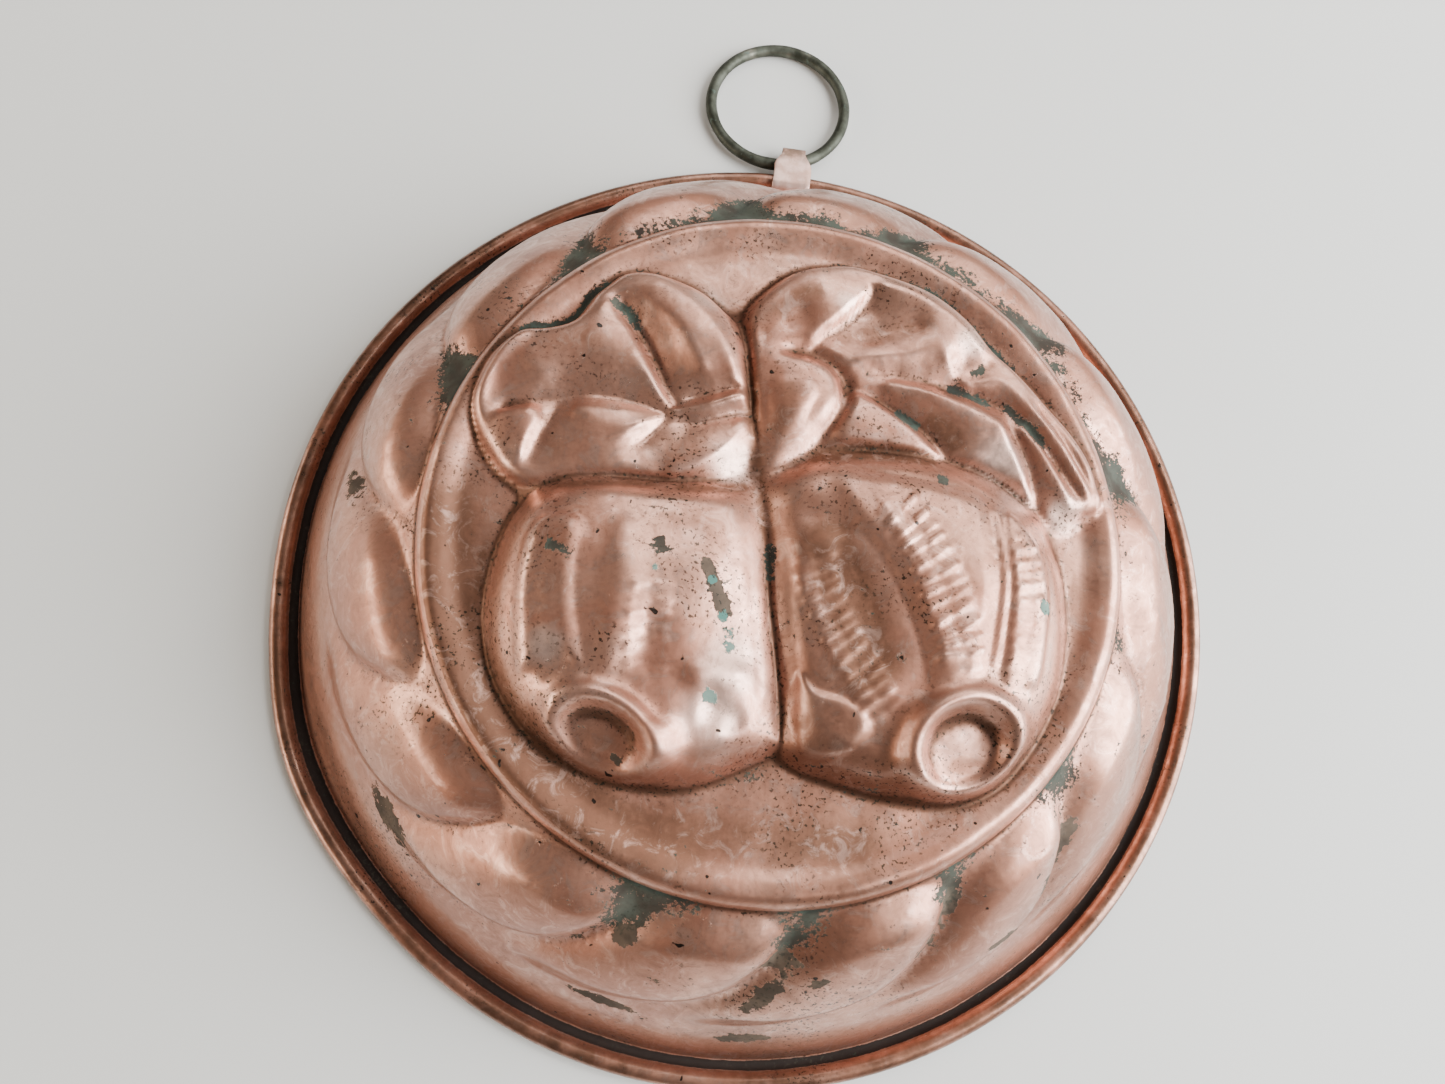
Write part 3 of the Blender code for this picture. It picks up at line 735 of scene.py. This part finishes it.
# Painted highlights: spots where the copper is painted lighter, as if catching the light
HIGHLIGHT_SPOTS = [((46, 20), 6.5), ((49, 12), 5.0), ((61, 11), 4.5), ((-11, 13), 5.5), ((-8, -30), 7.0),
          ((-10, -40), 7.0), ((-20, 50), 5.0), ((38, 47), 4.0), ((-44, -30), 4.0), ((10, 52), 3.0)]
SPECKLED = [((-46, -8), 7.0), ((-50, -14), 5.0), ((26, 57), 5.0), ((38, 47), 4.0), ((18, 25), 8.0),
            ((10, 9), 8.0), ((26, 10), 8.0), ((40, 8), 6.0), ((0, 36), 6.0), ((-56, 36), 6.0),
            ((-12, 48), 6.0), ((-4, 6), 5.0), ((50, 2), 5.0), ((-44, -46), 5.0), ((-3, -50), 5.0)]


def brushed(x, y, strokes):
    """Soft-edged strokes along paths."""
    mark = np.zeros(x.shape)
    for path, half_width, strength in strokes:
        along, aside = along_and_aside(x, y, curve_through(path, steps=4))
        fade = 0.35 + 0.65 * ends_fade(along, 0.15)
        mark = np.maximum(mark, strength * fade * bell(aside / half_width))
    return mark


def spots(x, y, places):
    mark = np.zeros(x.shape)
    for (cx, cy), radius in places:
        mark = np.maximum(mark, bell(np.hypot(x - cx, y - cy) / radius))
    return mark


def apart_deg(degrees, angle):
    return (degrees - angle + 180.0) % 360.0 - 180.0


def verdigris_mark(theta, t, on_wall, x, y):
    """Green in the valleys' starts, along the crease at the back, and in some folds of the leaves."""
    mark = np.zeros(x.shape)
    degrees = np.degrees(theta) % 360.0
    for start, amount in VERDIGRIS_AT.items():
        apart = apart_deg(degrees + DROP_SWEEP_DEG * t**1.15, start)
        wide = 1.6 + 6.0 * amount * bell(t / 0.12)
        down = 1 - smooth_step(t, 0.14 * amount, 0.06 + 0.34 * amount)
        mark = np.maximum(mark, bell(apart / wide) * down * min(1.3, 0.3 + amount))
    mark = mark * on_wall
    seam = bell((t - 0.02) / 0.04) * on_wall
    mark = np.maximum(mark, 0.75 * bell(apart_deg(degrees, 75.0) / 62.0) * seam)
    on_top = x * x + y * y < 5400
    for line in GREEN_LINES:
        along, aside = along_and_aside(x, y, curve_through(line))
        mark = np.maximum(mark, bell(aside / 1.3) * ends_fade(along, 0.1) * on_top)
    return mark


# Chipped grey-brown patches on the wall: angle, place down the wall, and half sizes of each
PATCHES = [(321, 0.26, 2.8, 0.10), (316, 0.34, 3.0, 0.06), (298, 0.24, 3.0, 0.10), (301, 0.16, 1.6, 0.08),
           (275, 0.36, 1.6, 0.16), (276, 0.20, 2.2, 0.04), (255, 0.20, 2.0, 0.07), (249, 0.33, 1.4, 0.07),
           (256, 0.66, 4.0, 0.04), (274, 0.76, 4.5, 0.04), (221, 0.60, 4.5, 0.09), (177, 0.42, 2.6, 0.09),
           (281, 0.27, 1.8, 0.03), (306, 0.42, 3.0, 0.02)]


def patch_mark(theta, t, on_wall):
    degrees = np.degrees(theta) % 360.0
    mark = np.zeros(theta.shape)
    for angle, down, half_angle, half_down in PATCHES:
        lean = 22.0 * (t - down)
        u = apart_deg(degrees + lean, angle) / half_angle
        v = (t - down) / half_down
        mark = np.maximum(mark, np.exp(-(u * u + v * v)))
    return mark * on_wall


# --- Building meshes ---


def mesh_object(name, points, faces):
    mesh = bpy.data.meshes.new(name)
    mesh.from_pydata([tuple(p) for p in points], [], faces)
    mesh.validate()
    mesh.shade_smooth()
    obj = bpy.data.objects.new(name, mesh)
    bpy.context.scene.collection.objects.link(obj)
    return obj


def to_metres(points):
    points = np.array(points) * MM
    points[:, 1] += AXIS_Y * MM
    return points


def mould_shell():
    """The whole sheet as one closed mesh: copper outside, tinned inside."""
    outer, outer_faces, outer_last, (length, theta) = sheet_face(OUTER_RINGS, 0.0)
    inner, inner_faces, inner_last, _ = sheet_face(INNER_RINGS, SHEET)
    inner[:, 2] = np.maximum(inner[:, 2], 0.0)
    shift = len(outer)
    faces = list(outer_faces)
    faces += [tuple(reversed([i + shift for i in face])) for face in inner_faces]
    for i in range(SECTORS):
        j = (i + 1) % SECTORS
        faces.append((shift + inner_last + i, shift + inner_last + j, outer_last + j, outer_last + i))
    points = to_metres(np.vstack([outer, inner]))
    shell = mesh_object("mould_sheet", points, faces)
    for name, values in sheet_marks(length, theta).items():
        attribute = shell.data.attributes.new(name, "FLOAT", "POINT")
        attribute.data.foreach_set("value", np.concatenate([values, np.zeros(len(inner))]))
    tinned = np.zeros(len(shell.data.polygons), dtype=np.int32)
    roll = length_at_radius(FOOT_R + 2.0)
    before_roll = sum(sector_count(radius_at(length)) for length in INNER_RINGS if length < roll)
    inner_roll_start = shift + 1 + before_roll
    first = np.array([max(face) for face in faces])
    tinned[(first >= shift) & (first < inner_roll_start)] = 1
    shell.data.polygons.foreach_set("material_index", tinned)
    return shell


def ring_torus(name, radius, thickness, around, across, uneven=0.0):
    """A ring of wire, a little uneven in thickness as drawn wire worn by use is."""
    points, faces = [], []
    for i in range(around):
        a = math.tau * i / around
        worn = 1 - uneven * (0.5 + 0.5 * math.sin(3 * a + 0.7) * math.sin(7 * a + 2.0))
        for j in range(across):
            b = math.tau * j / across
            rr = radius + thickness * worn * math.cos(b)
            points.append((rr * math.sin(a), rr * math.cos(a), thickness * worn * math.sin(b)))
            k = (i + 1) % around
            faces.append((i * across + j, i * across + (j + 1) % across,
                          k * across + (j + 1) % across, k * across + j))
    return mesh_object(name, points, faces)


def rim_wire():
    wire = ring_torus("rim_core_wire", ROLL_R, WIRE_RADIUS, 320, 14)
    for vertex in wire.data.vertices:
        theta = math.atan2(vertex.co.y, vertex.co.x)
        bend = float(rim_bend(np.float64(theta)))
        vertex.co.x += bend * math.cos(theta)
        vertex.co.y += bend * math.sin(theta)
    place = Matrix.Translation(in_frame(0, 0, ROLL_RADIUS)) @ Matrix.Scale(MM, 4)
    wire.data.transform(place)
    return wire


def hanging_ring():
    ring = ring_torus("wire_ring", RING_RADIUS, RING_WIRE, 220, 26, 0.07)
    yaw = math.atan2(ring_axis.y, ring_axis.x)
    turn = Euler((-RING_DROP, 0.0, yaw)).to_matrix().to_4x4()
    lift = Matrix.Translation((0.0, RING_RADIUS, 0.0))
    ring.data.transform(Matrix.Translation(pivot) @ turn @ Matrix.Scale(MM, 4) @ lift)
    return ring


def strap_path():
    """The strap's middle line in the (y, z) plane with its half width at each point."""
    fold_radius = (STRAP_TOP_Z - STRAP_LOW_Z) / 2
    fold_centre = (FOLD_Y, STRAP_LOW_Z + fold_radius)
    path = [((STRAP_LEG_Y, z), STRAP_HALF) for z in (1.4, 2.3)]
    path += [(p, STRAP_HALF) for p in
             arc((STRAP_LEG_Y + 2.4, STRAP_TOP_Z - 2.4), 2.4, 180, 90, 8)]
    for i in range(8):
        y = 117.2 + (FOLD_Y - 117.8) * i / 7
        path.append(((y, STRAP_TOP_Z), np.interp(y, (121.6, FOLD_Y), (STRAP_HALF, STRAP_END_HALF))))
    path += [(p, STRAP_END_HALF) for p in arc(fold_centre, fold_radius, 90, -90, 16)]
    path += [((y, STRAP_LOW_Z), STRAP_END_HALF - 0.2) for y in (123.4, 122.0, RIM_RADIUS + 0.9)]
    return path


def ring_strap():
    """The folded strip, with soft edges and a slight hollow across it."""
    across = 9
    points, faces = [], []
    path = strap_path()
    for (y, z), half in path:
        for k in range(across):
            s = 2 * k / (across - 1) - 1
            wobble = 0.05 * math.sin(0.9 * y + 2.1 * s)
            points.append((s * half + 0.08 * math.sin(0.7 * y), y, z + wobble - 0.06 * (1 - s * s)))
    for i in range(len(path) - 1):
        for k in range(across - 1):
            a = i * across + k
            faces.append((a, a + 1, a + 1 + across, a + across))
    strap = mesh_object("folded_strap", to_metres(points), faces)
    solid = strap.modifiers.new("strip", "SOLIDIFY")
    solid.thickness = STRAP_SHEET * MM
    solid.offset = 0.0
    solid.use_even_offset = True
    bevel = strap.modifiers.new("worn edges", "BEVEL")
    bevel.width = 0.16 * MM
    bevel.segments = 2
    bevel.angle_limit = math.radians(50)
    return strap


def strap_solder():
    """A lumpy bead of solder in the gutter, thicker beside the strap's leg."""
    radius = (STRAP_LEG_Y + STRAP_SHEET / 2 + ROLL_R - ROLL_RADIUS) / 2
    steps, around = 48, 14
    points, faces = [], []
    for i in range(steps + 1):
        s = 2 * i / steps - 1
        a = s * math.radians(4.4)
        size = 0.55 * (1 - abs(s) ** 5) ** 0.5 * (1 + 0.12 * math.sin(9 * s + 1) + 0.07 * math.sin(23 * s))
        for j in range(around):
            b = math.tau * j / around
            rr = radius + size * math.cos(b)
            z = 1.75 + 0.85 * size * math.sin(b)
            points.append((rr * math.sin(a), rr * math.cos(a), z))
    for i in range(steps):
        for j in range(around):
            a, b = i * around + j, i * around + (j + 1) % around
            faces.append((a, a + around, b + around, b))
    obj = mesh_object("solder_bead", to_metres(points), faces)
    bm = bmesh.new()
    bm.from_mesh(obj.data)
    bmesh.ops.remove_doubles(bm, verts=bm.verts, dist=1e-6)
    bmesh.ops.recalc_face_normals(bm, faces=bm.faces)
    bm.to_mesh(obj.data)
    bm.free()
    return obj


# --- Materials ---


COAT_ROUGHNESS = 0.13
COPPER_SPECULAR = 0.2


class Nodes:
    """Shorthand for building one material's node tree."""

    def __init__(self, name):
        self.material = bpy.data.materials.new(name)
        self.material.use_nodes = True
        self.tree = self.material.node_tree
        self.shader = self.tree.nodes["Principled BSDF"]
        self.place = self.tree.nodes.new("ShaderNodeTexCoord").outputs["Object"]

    def link(self, output, socket):
        self.tree.links.new(output, socket)

    def fill(self, socket, value):
        if hasattr(value, "is_output"):
            self.link(value, socket)
        else:
            socket.default_value = value

    def noise(self, scale, detail=4.0, roughness=0.55, distortion=0.0, stretch=None):
        node = self.tree.nodes.new("ShaderNodeTexNoise")
        node.inputs["Scale"].default_value = scale
        node.inputs["Detail"].default_value = detail
        node.inputs["Roughness"].default_value = roughness
        node.inputs["Distortion"].default_value = distortion
        source = self.place
        if stretch:
            mapping = self.tree.nodes.new("ShaderNodeMapping")
            mapping.inputs["Scale"].default_value = stretch[0]
            mapping.inputs["Rotation"].default_value = stretch[1]
            self.link(self.place, mapping.inputs["Vector"])
            source = mapping.outputs["Vector"]
        self.link(source, node.inputs["Vector"])
        return node.outputs["Fac"]

    def attribute(self, name):
        node = self.tree.nodes.new("ShaderNodeAttribute")
        node.attribute_name = name
        return node.outputs["Fac"]

    def math(self, operation, a, b=0.0, clamp=False):
        node = self.tree.nodes.new("ShaderNodeMath")
        node.operation = operation
        node.use_clamp = clamp
        self.fill(node.inputs[0], a)
        self.fill(node.inputs[1], b)
        return node.outputs[0]

    def spread(self, value, low, high, to_low=0.0, to_high=1.0):
        node = self.tree.nodes.new("ShaderNodeMapRange")
        node.interpolation_type = "SMOOTHSTEP"
        self.fill(node.inputs["Value"], value)
        for name, number in (("From Min", low), ("From Max", high), ("To Min", to_low), ("To Max", to_high)):
            node.inputs[name].default_value = number
        return node.outputs["Result"]

    def mix(self, share, a, b):
        node = self.tree.nodes.new("ShaderNodeMix")
        node.data_type = "RGBA"
        self.fill(node.inputs["Factor"], share)
        for socket, value in ((node.inputs[6], a), (node.inputs[7], b)):
            self.fill(socket, value if hasattr(value, "is_output") else (*value, 1.0))
        return node.outputs[2]

    def times(self, a, b):
        return self.math("MULTIPLY", a, b)

    def cover(self, colour, mask, share, over):
        """The colour with another over it, where the mask is, at a share of its strength."""
        return self.mix(self.times(mask, share), colour, over)

    def mix_value(self, share, a, b):
        node = self.tree.nodes.new("ShaderNodeMix")
        self.fill(node.inputs["Factor"], share)
        self.fill(node.inputs[2], a)
        self.fill(node.inputs[3], b)
        return node.outputs[0]

    def bump(self, height, strength, distance, before=None):
        node = self.tree.nodes.new("ShaderNodeBump")
        node.inputs["Strength"].default_value = strength
        node.inputs["Distance"].default_value = distance
        self.link(height, node.inputs["Height"])
        if before is not None:
            self.link(before, node.inputs["Normal"])
        return node.outputs["Normal"]

    def finish(self, colour, roughness, metallic, normal=None, specular=0.5, coat=0.0):
        self.fill(self.shader.inputs["Base Color"], colour)
        self.fill(self.shader.inputs["Roughness"], roughness)
        self.fill(self.shader.inputs["Metallic"], metallic)
        self.fill(self.shader.inputs["Specular IOR Level"], specular)
        self.fill(self.shader.inputs["Coat Weight"], coat)
        self.shader.inputs["Coat Roughness"].default_value = COAT_ROUGHNESS
        if normal is not None:
            self.link(normal, self.shader.inputs["Normal"])
        return self.material


def copper_outside():
    """Rubbed copper with brown tarnish, painted highlights, painted shade in the creases, the gutter and on
    left-facing parts, black specks and rough-edged verdigris.
    """
    n = Nodes("old_copper")
    clouds = n.noise(30.0, 6.0, 0.6, 0.8)
    broad = n.noise(15.0, 5.0, 0.6, 0.6)
    fine = n.noise(900.0, 5.0, 0.7)
    grain = n.math("SUBTRACT", n.noise(1300.0, 4.0, 0.75), 0.5)
    edge = n.math("SUBTRACT", n.noise(330.0, 5.0, 0.75), 0.5)
    lumps = n.math("SUBTRACT", n.noise(90.0, 4.0, 0.7), 0.5)

    def ragged(value, lump_share, edge_share, grain_share):
        for noise, share in ((lumps, lump_share), (edge, edge_share), (grain, grain_share)):
            value = n.math("ADD", value, n.times(noise, share))
        return value

    colour = n.mix(n.spread(clouds, 0.36, 0.64), (0.43, 0.188, 0.124), (0.61, 0.312, 0.220))
    colour = n.mix(n.spread(broad, 0.47, 0.66, 0.0, 0.7), colour, (0.30, 0.130, 0.080))
    # Lighter on the rubbed crests, and painted highlights at the listed spots
    rubbed = n.spread(ragged(n.attribute("rubbed"), 0.5, 0.3, 0.0), 0.15, 0.9)
    colour = n.cover(colour, rubbed, 0.75, (0.80, 0.54, 0.44))
    # Brown tarnish, partly painted shade under leaf edges and on the left-facing flanks and floor
    tarnish_and_shade = n.spread(ragged(n.attribute("tarnish_and_shade"), 0.7, 0.35, 0.2), 0.2, 0.8)
    colour = n.cover(colour, tarnish_and_shade, 0.88, (0.150, 0.070, 0.042))
    colour = n.mix(n.spread(fine, 0.50, 0.72, 0.0, 0.35), colour, (0.30, 0.14, 0.09))
    mottle = n.noise(190.0, 6.0, 0.7, 1.2)
    colour = n.mix(n.spread(mottle, 0.50, 0.68, 0.0, 0.45), colour, (0.26, 0.115, 0.072))
    colour = n.mix(n.spread(mottle, 0.50, 0.34, 0.0, 0.35), colour, (0.78, 0.50, 0.40))
    # Painted shade: dark brown in the creases and hollows
    crease = n.spread(ragged(n.attribute("crease"), 0.7, 0.5, 0.4), 0.35, 0.95)
    colour = n.cover(colour, crease, 0.85, (0.085, 0.040, 0.024))
    rolled = n.times(n.attribute("rolled"), n.spread(lumps, -0.16, 0.08, 0.35, 0.9))
    colour = n.mix(rolled, colour, (0.16, 0.075, 0.045))
    # Painted shade: the gutter nearly black
    gutter = n.spread(ragged(n.attribute("gutter"), 0.4, 0.3, 0.2), 0.4, 0.6)
    colour = n.cover(colour, gutter, 0.98, (0.006, 0.005, 0.004))
    green = n.spread(ragged(n.attribute("verdigris"), 1.4, 2.0, 2.0), 0.48, 0.58)
    tint = n.spread(n.noise(160.0, 5.0), 0.35, 0.65)
    green_colour = n.mix(tint, (0.010, 0.016, 0.012), (0.034, 0.054, 0.042))
    colour = n.cover(colour, green, 0.94, green_colour)
    patch = n.spread(ragged(n.attribute("patch"), 2.2, 1.2, 0.4), 0.50, 0.55)
    patch_colour = n.mix(tint, (0.024, 0.025, 0.018), (0.085, 0.066, 0.046))
    colour = n.cover(colour, patch, 0.93, patch_colour)
    blue = n.spread(ragged(n.attribute("turquoise"), 2.2, 1.2, 0.4), 0.62, 0.68)
    colour = n.cover(colour, blue, 0.85, (0.060, 0.180, 0.150))
    specks = n.spread(n.noise(1300.0, 2.0), 0.585, 0.64)
    where = n.spread(n.noise(32.0, 4.0, 0.6), 0.50, 0.62)
    where = n.math("MAXIMUM", where, n.times(n.attribute("crease"), 1.4), clamp=True)
    where = n.math("MAXIMUM", where, n.attribute("speckled"), clamp=True)
    specks = n.times(specks, where)
    colour = n.cover(colour, specks, 0.9, (0.030, 0.026, 0.018))
    pits = n.spread(n.noise(330.0, 1.5), 0.735, 0.755)
    colour = n.mix(pits, colour, (0.03, 0.02, 0.015))
    # Green, patches, turquoise and the painted gutter shade are dull and not metallic
    stains_and_gutter_shade = n.math("MAXIMUM", n.math("MAXIMUM", green, patch), n.math("MAXIMUM", blue, gutter))
    dull = n.math("MAXIMUM", crease, tarnish_and_shade)
    roughness = n.spread(clouds, 0.3, 0.7, 0.46, 0.33)
    roughness = n.math("ADD", roughness, n.times(n.math("SUBTRACT", fine, 0.5), 0.25))
    roughness = n.math("ADD", roughness, n.times(n.math("SUBTRACT", mottle, 0.5), 0.5))
    roughness = n.mix_value(n.math("MAXIMUM", stains_and_gutter_shade, n.times(dull, 0.35)), roughness, 0.75)
    metallic = n.mix_value(stains_and_gutter_shade, 0.88, 0.0)
    coat = n.times(n.math("SUBTRACT", 1.0, n.math("MAXIMUM", stains_and_gutter_shade, dull)), 0.4)
    scratches = n.noise(900.0, 3.0, 0.5, 0.0, ((1.0, 0.06, 0.4), (0.2, 0.1, 0.6)))
    hammered = n.noise(75.0, 3.0, 0.6)
    normal = n.bump(hammered, 0.45, 0.0008)
    normal = n.bump(scratches, 0.12, 0.0001, normal)
    normal = n.bump(stains_and_gutter_shade, 0.35, 0.00025, normal)
    return n.finish(colour, roughness, metallic, normal, COPPER_SPECULAR, coat)


def tin_inside():
    """Dull grey tinning with copper showing through where it is rubbed."""
    n = Nodes("worn_tin")
    clouds = n.noise(30.0, 6.0, 0.6, 0.5)
    colour = n.mix(n.spread(clouds, 0.35, 0.68), (0.34, 0.33, 0.31), (0.56, 0.55, 0.52))
    worn = n.spread(n.noise(14.0, 5.0, 0.65), 0.62, 0.72)
    colour = n.cover(colour, worn, 0.7, (0.50, 0.33, 0.25))
    pits = n.spread(n.noise(260.0, 3.0), 0.66, 0.74)
    colour = n.cover(colour, pits, 0.6, (0.12, 0.11, 0.10))
    roughness = n.spread(clouds, 0.3, 0.7, 0.5, 0.36)
    normal = n.bump(n.noise(140.0, 4.0), 0.3, 0.0003)
    return n.finish(colour, roughness, 0.9, normal)


def ring_patina():
    """Black-green patina, rubbed to a dull shine in places."""
    n = Nodes("dark_ring")
    clouds = n.noise(160.0, 5.0, 0.6)
    colour = n.mix(n.spread(clouds, 0.35, 0.65), (0.030, 0.032, 0.022), (0.085, 0.090, 0.070))
    rubbed = n.spread(n.noise(90.0, 3.0), 0.58, 0.72)
    colour = n.cover(colour, rubbed, 0.6, (0.20, 0.19, 0.15))
    bloom = n.spread(n.noise(420.0, 4.0), 0.6, 0.7)
    colour = n.cover(colour, bloom, 0.4, (0.12, 0.17, 0.15))
    roughness = n.mix_value(rubbed, 0.55, 0.34)
    normal = n.bump(n.noise(700.0, 4.0), 0.45, 0.00025)
    return n.finish(colour, roughness, 0.75, normal)


def strap_copper():
    """Dull pink copper strip, stained brown where it folds round the ring."""
    n = Nodes("strap_copper")
    clouds = n.noise(240.0, 5.0, 0.6)
    colour = n.mix(n.spread(clouds, 0.35, 0.65), (0.55, 0.34, 0.27), (0.72, 0.50, 0.43))
    place = n.tree.nodes.new("ShaderNodeSeparateXYZ")
    n.link(n.place, place.inputs[0])
    fold_start = (121.5 + AXIS_Y) * MM
    toward_fold = n.spread(place.outputs["Y"], fold_start, fold_start + 3.0 * MM)
    stain = n.times(toward_fold, n.spread(n.noise(330.0, 4.0), 0.3, 0.62))
    colour = n.cover(colour, stain, 0.8, (0.20, 0.13, 0.09))
    roughness = n.mix_value(stain, 0.42, 0.65)
    normal = n.bump(n.noise(500.0, 4.0), 0.3, 0.0002)
    return n.finish(colour, roughness, 0.85, normal)


def dull_metal(name, dark, light, roughness, metallic, scale):
    n = Nodes(name)
    clouds = n.noise(scale, 5.0, 0.6)
    colour = n.mix(n.spread(clouds, 0.35, 0.65), dark, light)
    normal = n.bump(n.noise(scale * 3, 4.0), 0.4, 0.0003)
    return n.finish(colour, roughness, metallic, normal)


def pale_floor():
    n = Nodes("pale_floor")
    colour = n.mix(n.noise(4.0, 3.0), (0.60, 0.59, 0.56), (0.66, 0.65, 0.62))
    return n.finish(colour, 0.7, 0.0)


def give(obj, *materials):
    for material in materials:
        obj.data.materials.append(material)


# --- Studio ---


def camera():
    """The photograph's view: from above, a little to the front left of the mould."""
    data = bpy.data.cameras.new("camera")
    data.sensor_width = 36.0
    data.lens = 25.283
    data.clip_start = 0.01
    obj = bpy.data.objects.new("camera", data)
    obj.location = in_frame(-23.2, -55.5, 258.4)
    obj.rotation_euler = [math.radians(a) for a in (13.862, -4.707, 5.809)]
    bpy.context.scene.collection.objects.link(obj)
    bpy.context.scene.camera = obj


def area_light(name, place, aim, size, power, colour):
    data = bpy.data.lights.new(name, "AREA")
    data.shape = "RECTANGLE"
    data.size, data.size_y = size
    data.energy = power
    data.color = colour
    obj = bpy.data.objects.new(name, data)
    obj.location = in_frame(*place)
    direction = in_frame(*aim) - obj.location
    obj.rotation_euler = direction.to_track_quat("-Z", "Y").to_euler()
    bpy.context.scene.collection.objects.link(obj)


def studio():
    floor = mesh_object("floor", [(-3, -3, 0), (3, -3, 0), (3, 3, 0), (-3, 3, 0)], [(0, 1, 2, 3)])
    give(floor, pale_floor())
    world = bpy.data.worlds.new("studio")
    world.use_nodes = True
    world.node_tree.nodes["Background"].inputs["Color"].default_value = (0.86, 0.82, 0.76, 1.0)
    world.node_tree.nodes["Background"].inputs["Strength"].default_value = 0.10
    bpy.context.scene.world = world
    area_light("window_right", (950, -60, 560), (60, 0, 30), (1.0, 1.2), 58, (0.95, 0.98, 1.0))
    area_light("soft_back", (350, 950, 950), (0, 0, 30), (1.3, 1.0), 15, (1.0, 0.98, 0.95))
    area_light("low_left", (-850, -150, 260), (-40, 0, 30), (1.0, 0.35), 7, (1.0, 0.88, 0.74))


def main():
    camera()
    studio()

    shell = mould_shell()
    give(shell, copper_outside(), tin_inside())
    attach(shell, "mould")
    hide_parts("mould_shell")

    core = rim_wire()
    give(core, dull_metal("rusty_iron", (0.09, 0.05, 0.03), (0.20, 0.11, 0.07), 0.7, 0.5, 200.0))
    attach(core, "mould")
    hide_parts("rim_wire")

    strap = ring_strap()
    give(strap, strap_copper())
    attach(strap, "mould")
    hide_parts("ring_strap")

    bead = strap_solder()
    give(bead, dull_metal("old_solder", (0.16, 0.155, 0.14), (0.36, 0.35, 0.32), 0.5, 0.8, 260.0))
    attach(bead, "mould")
    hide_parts("strap_solder")

    ring = hanging_ring()
    give(ring, ring_patina())
    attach(ring, "ring")
    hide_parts("hanging_ring")


main()
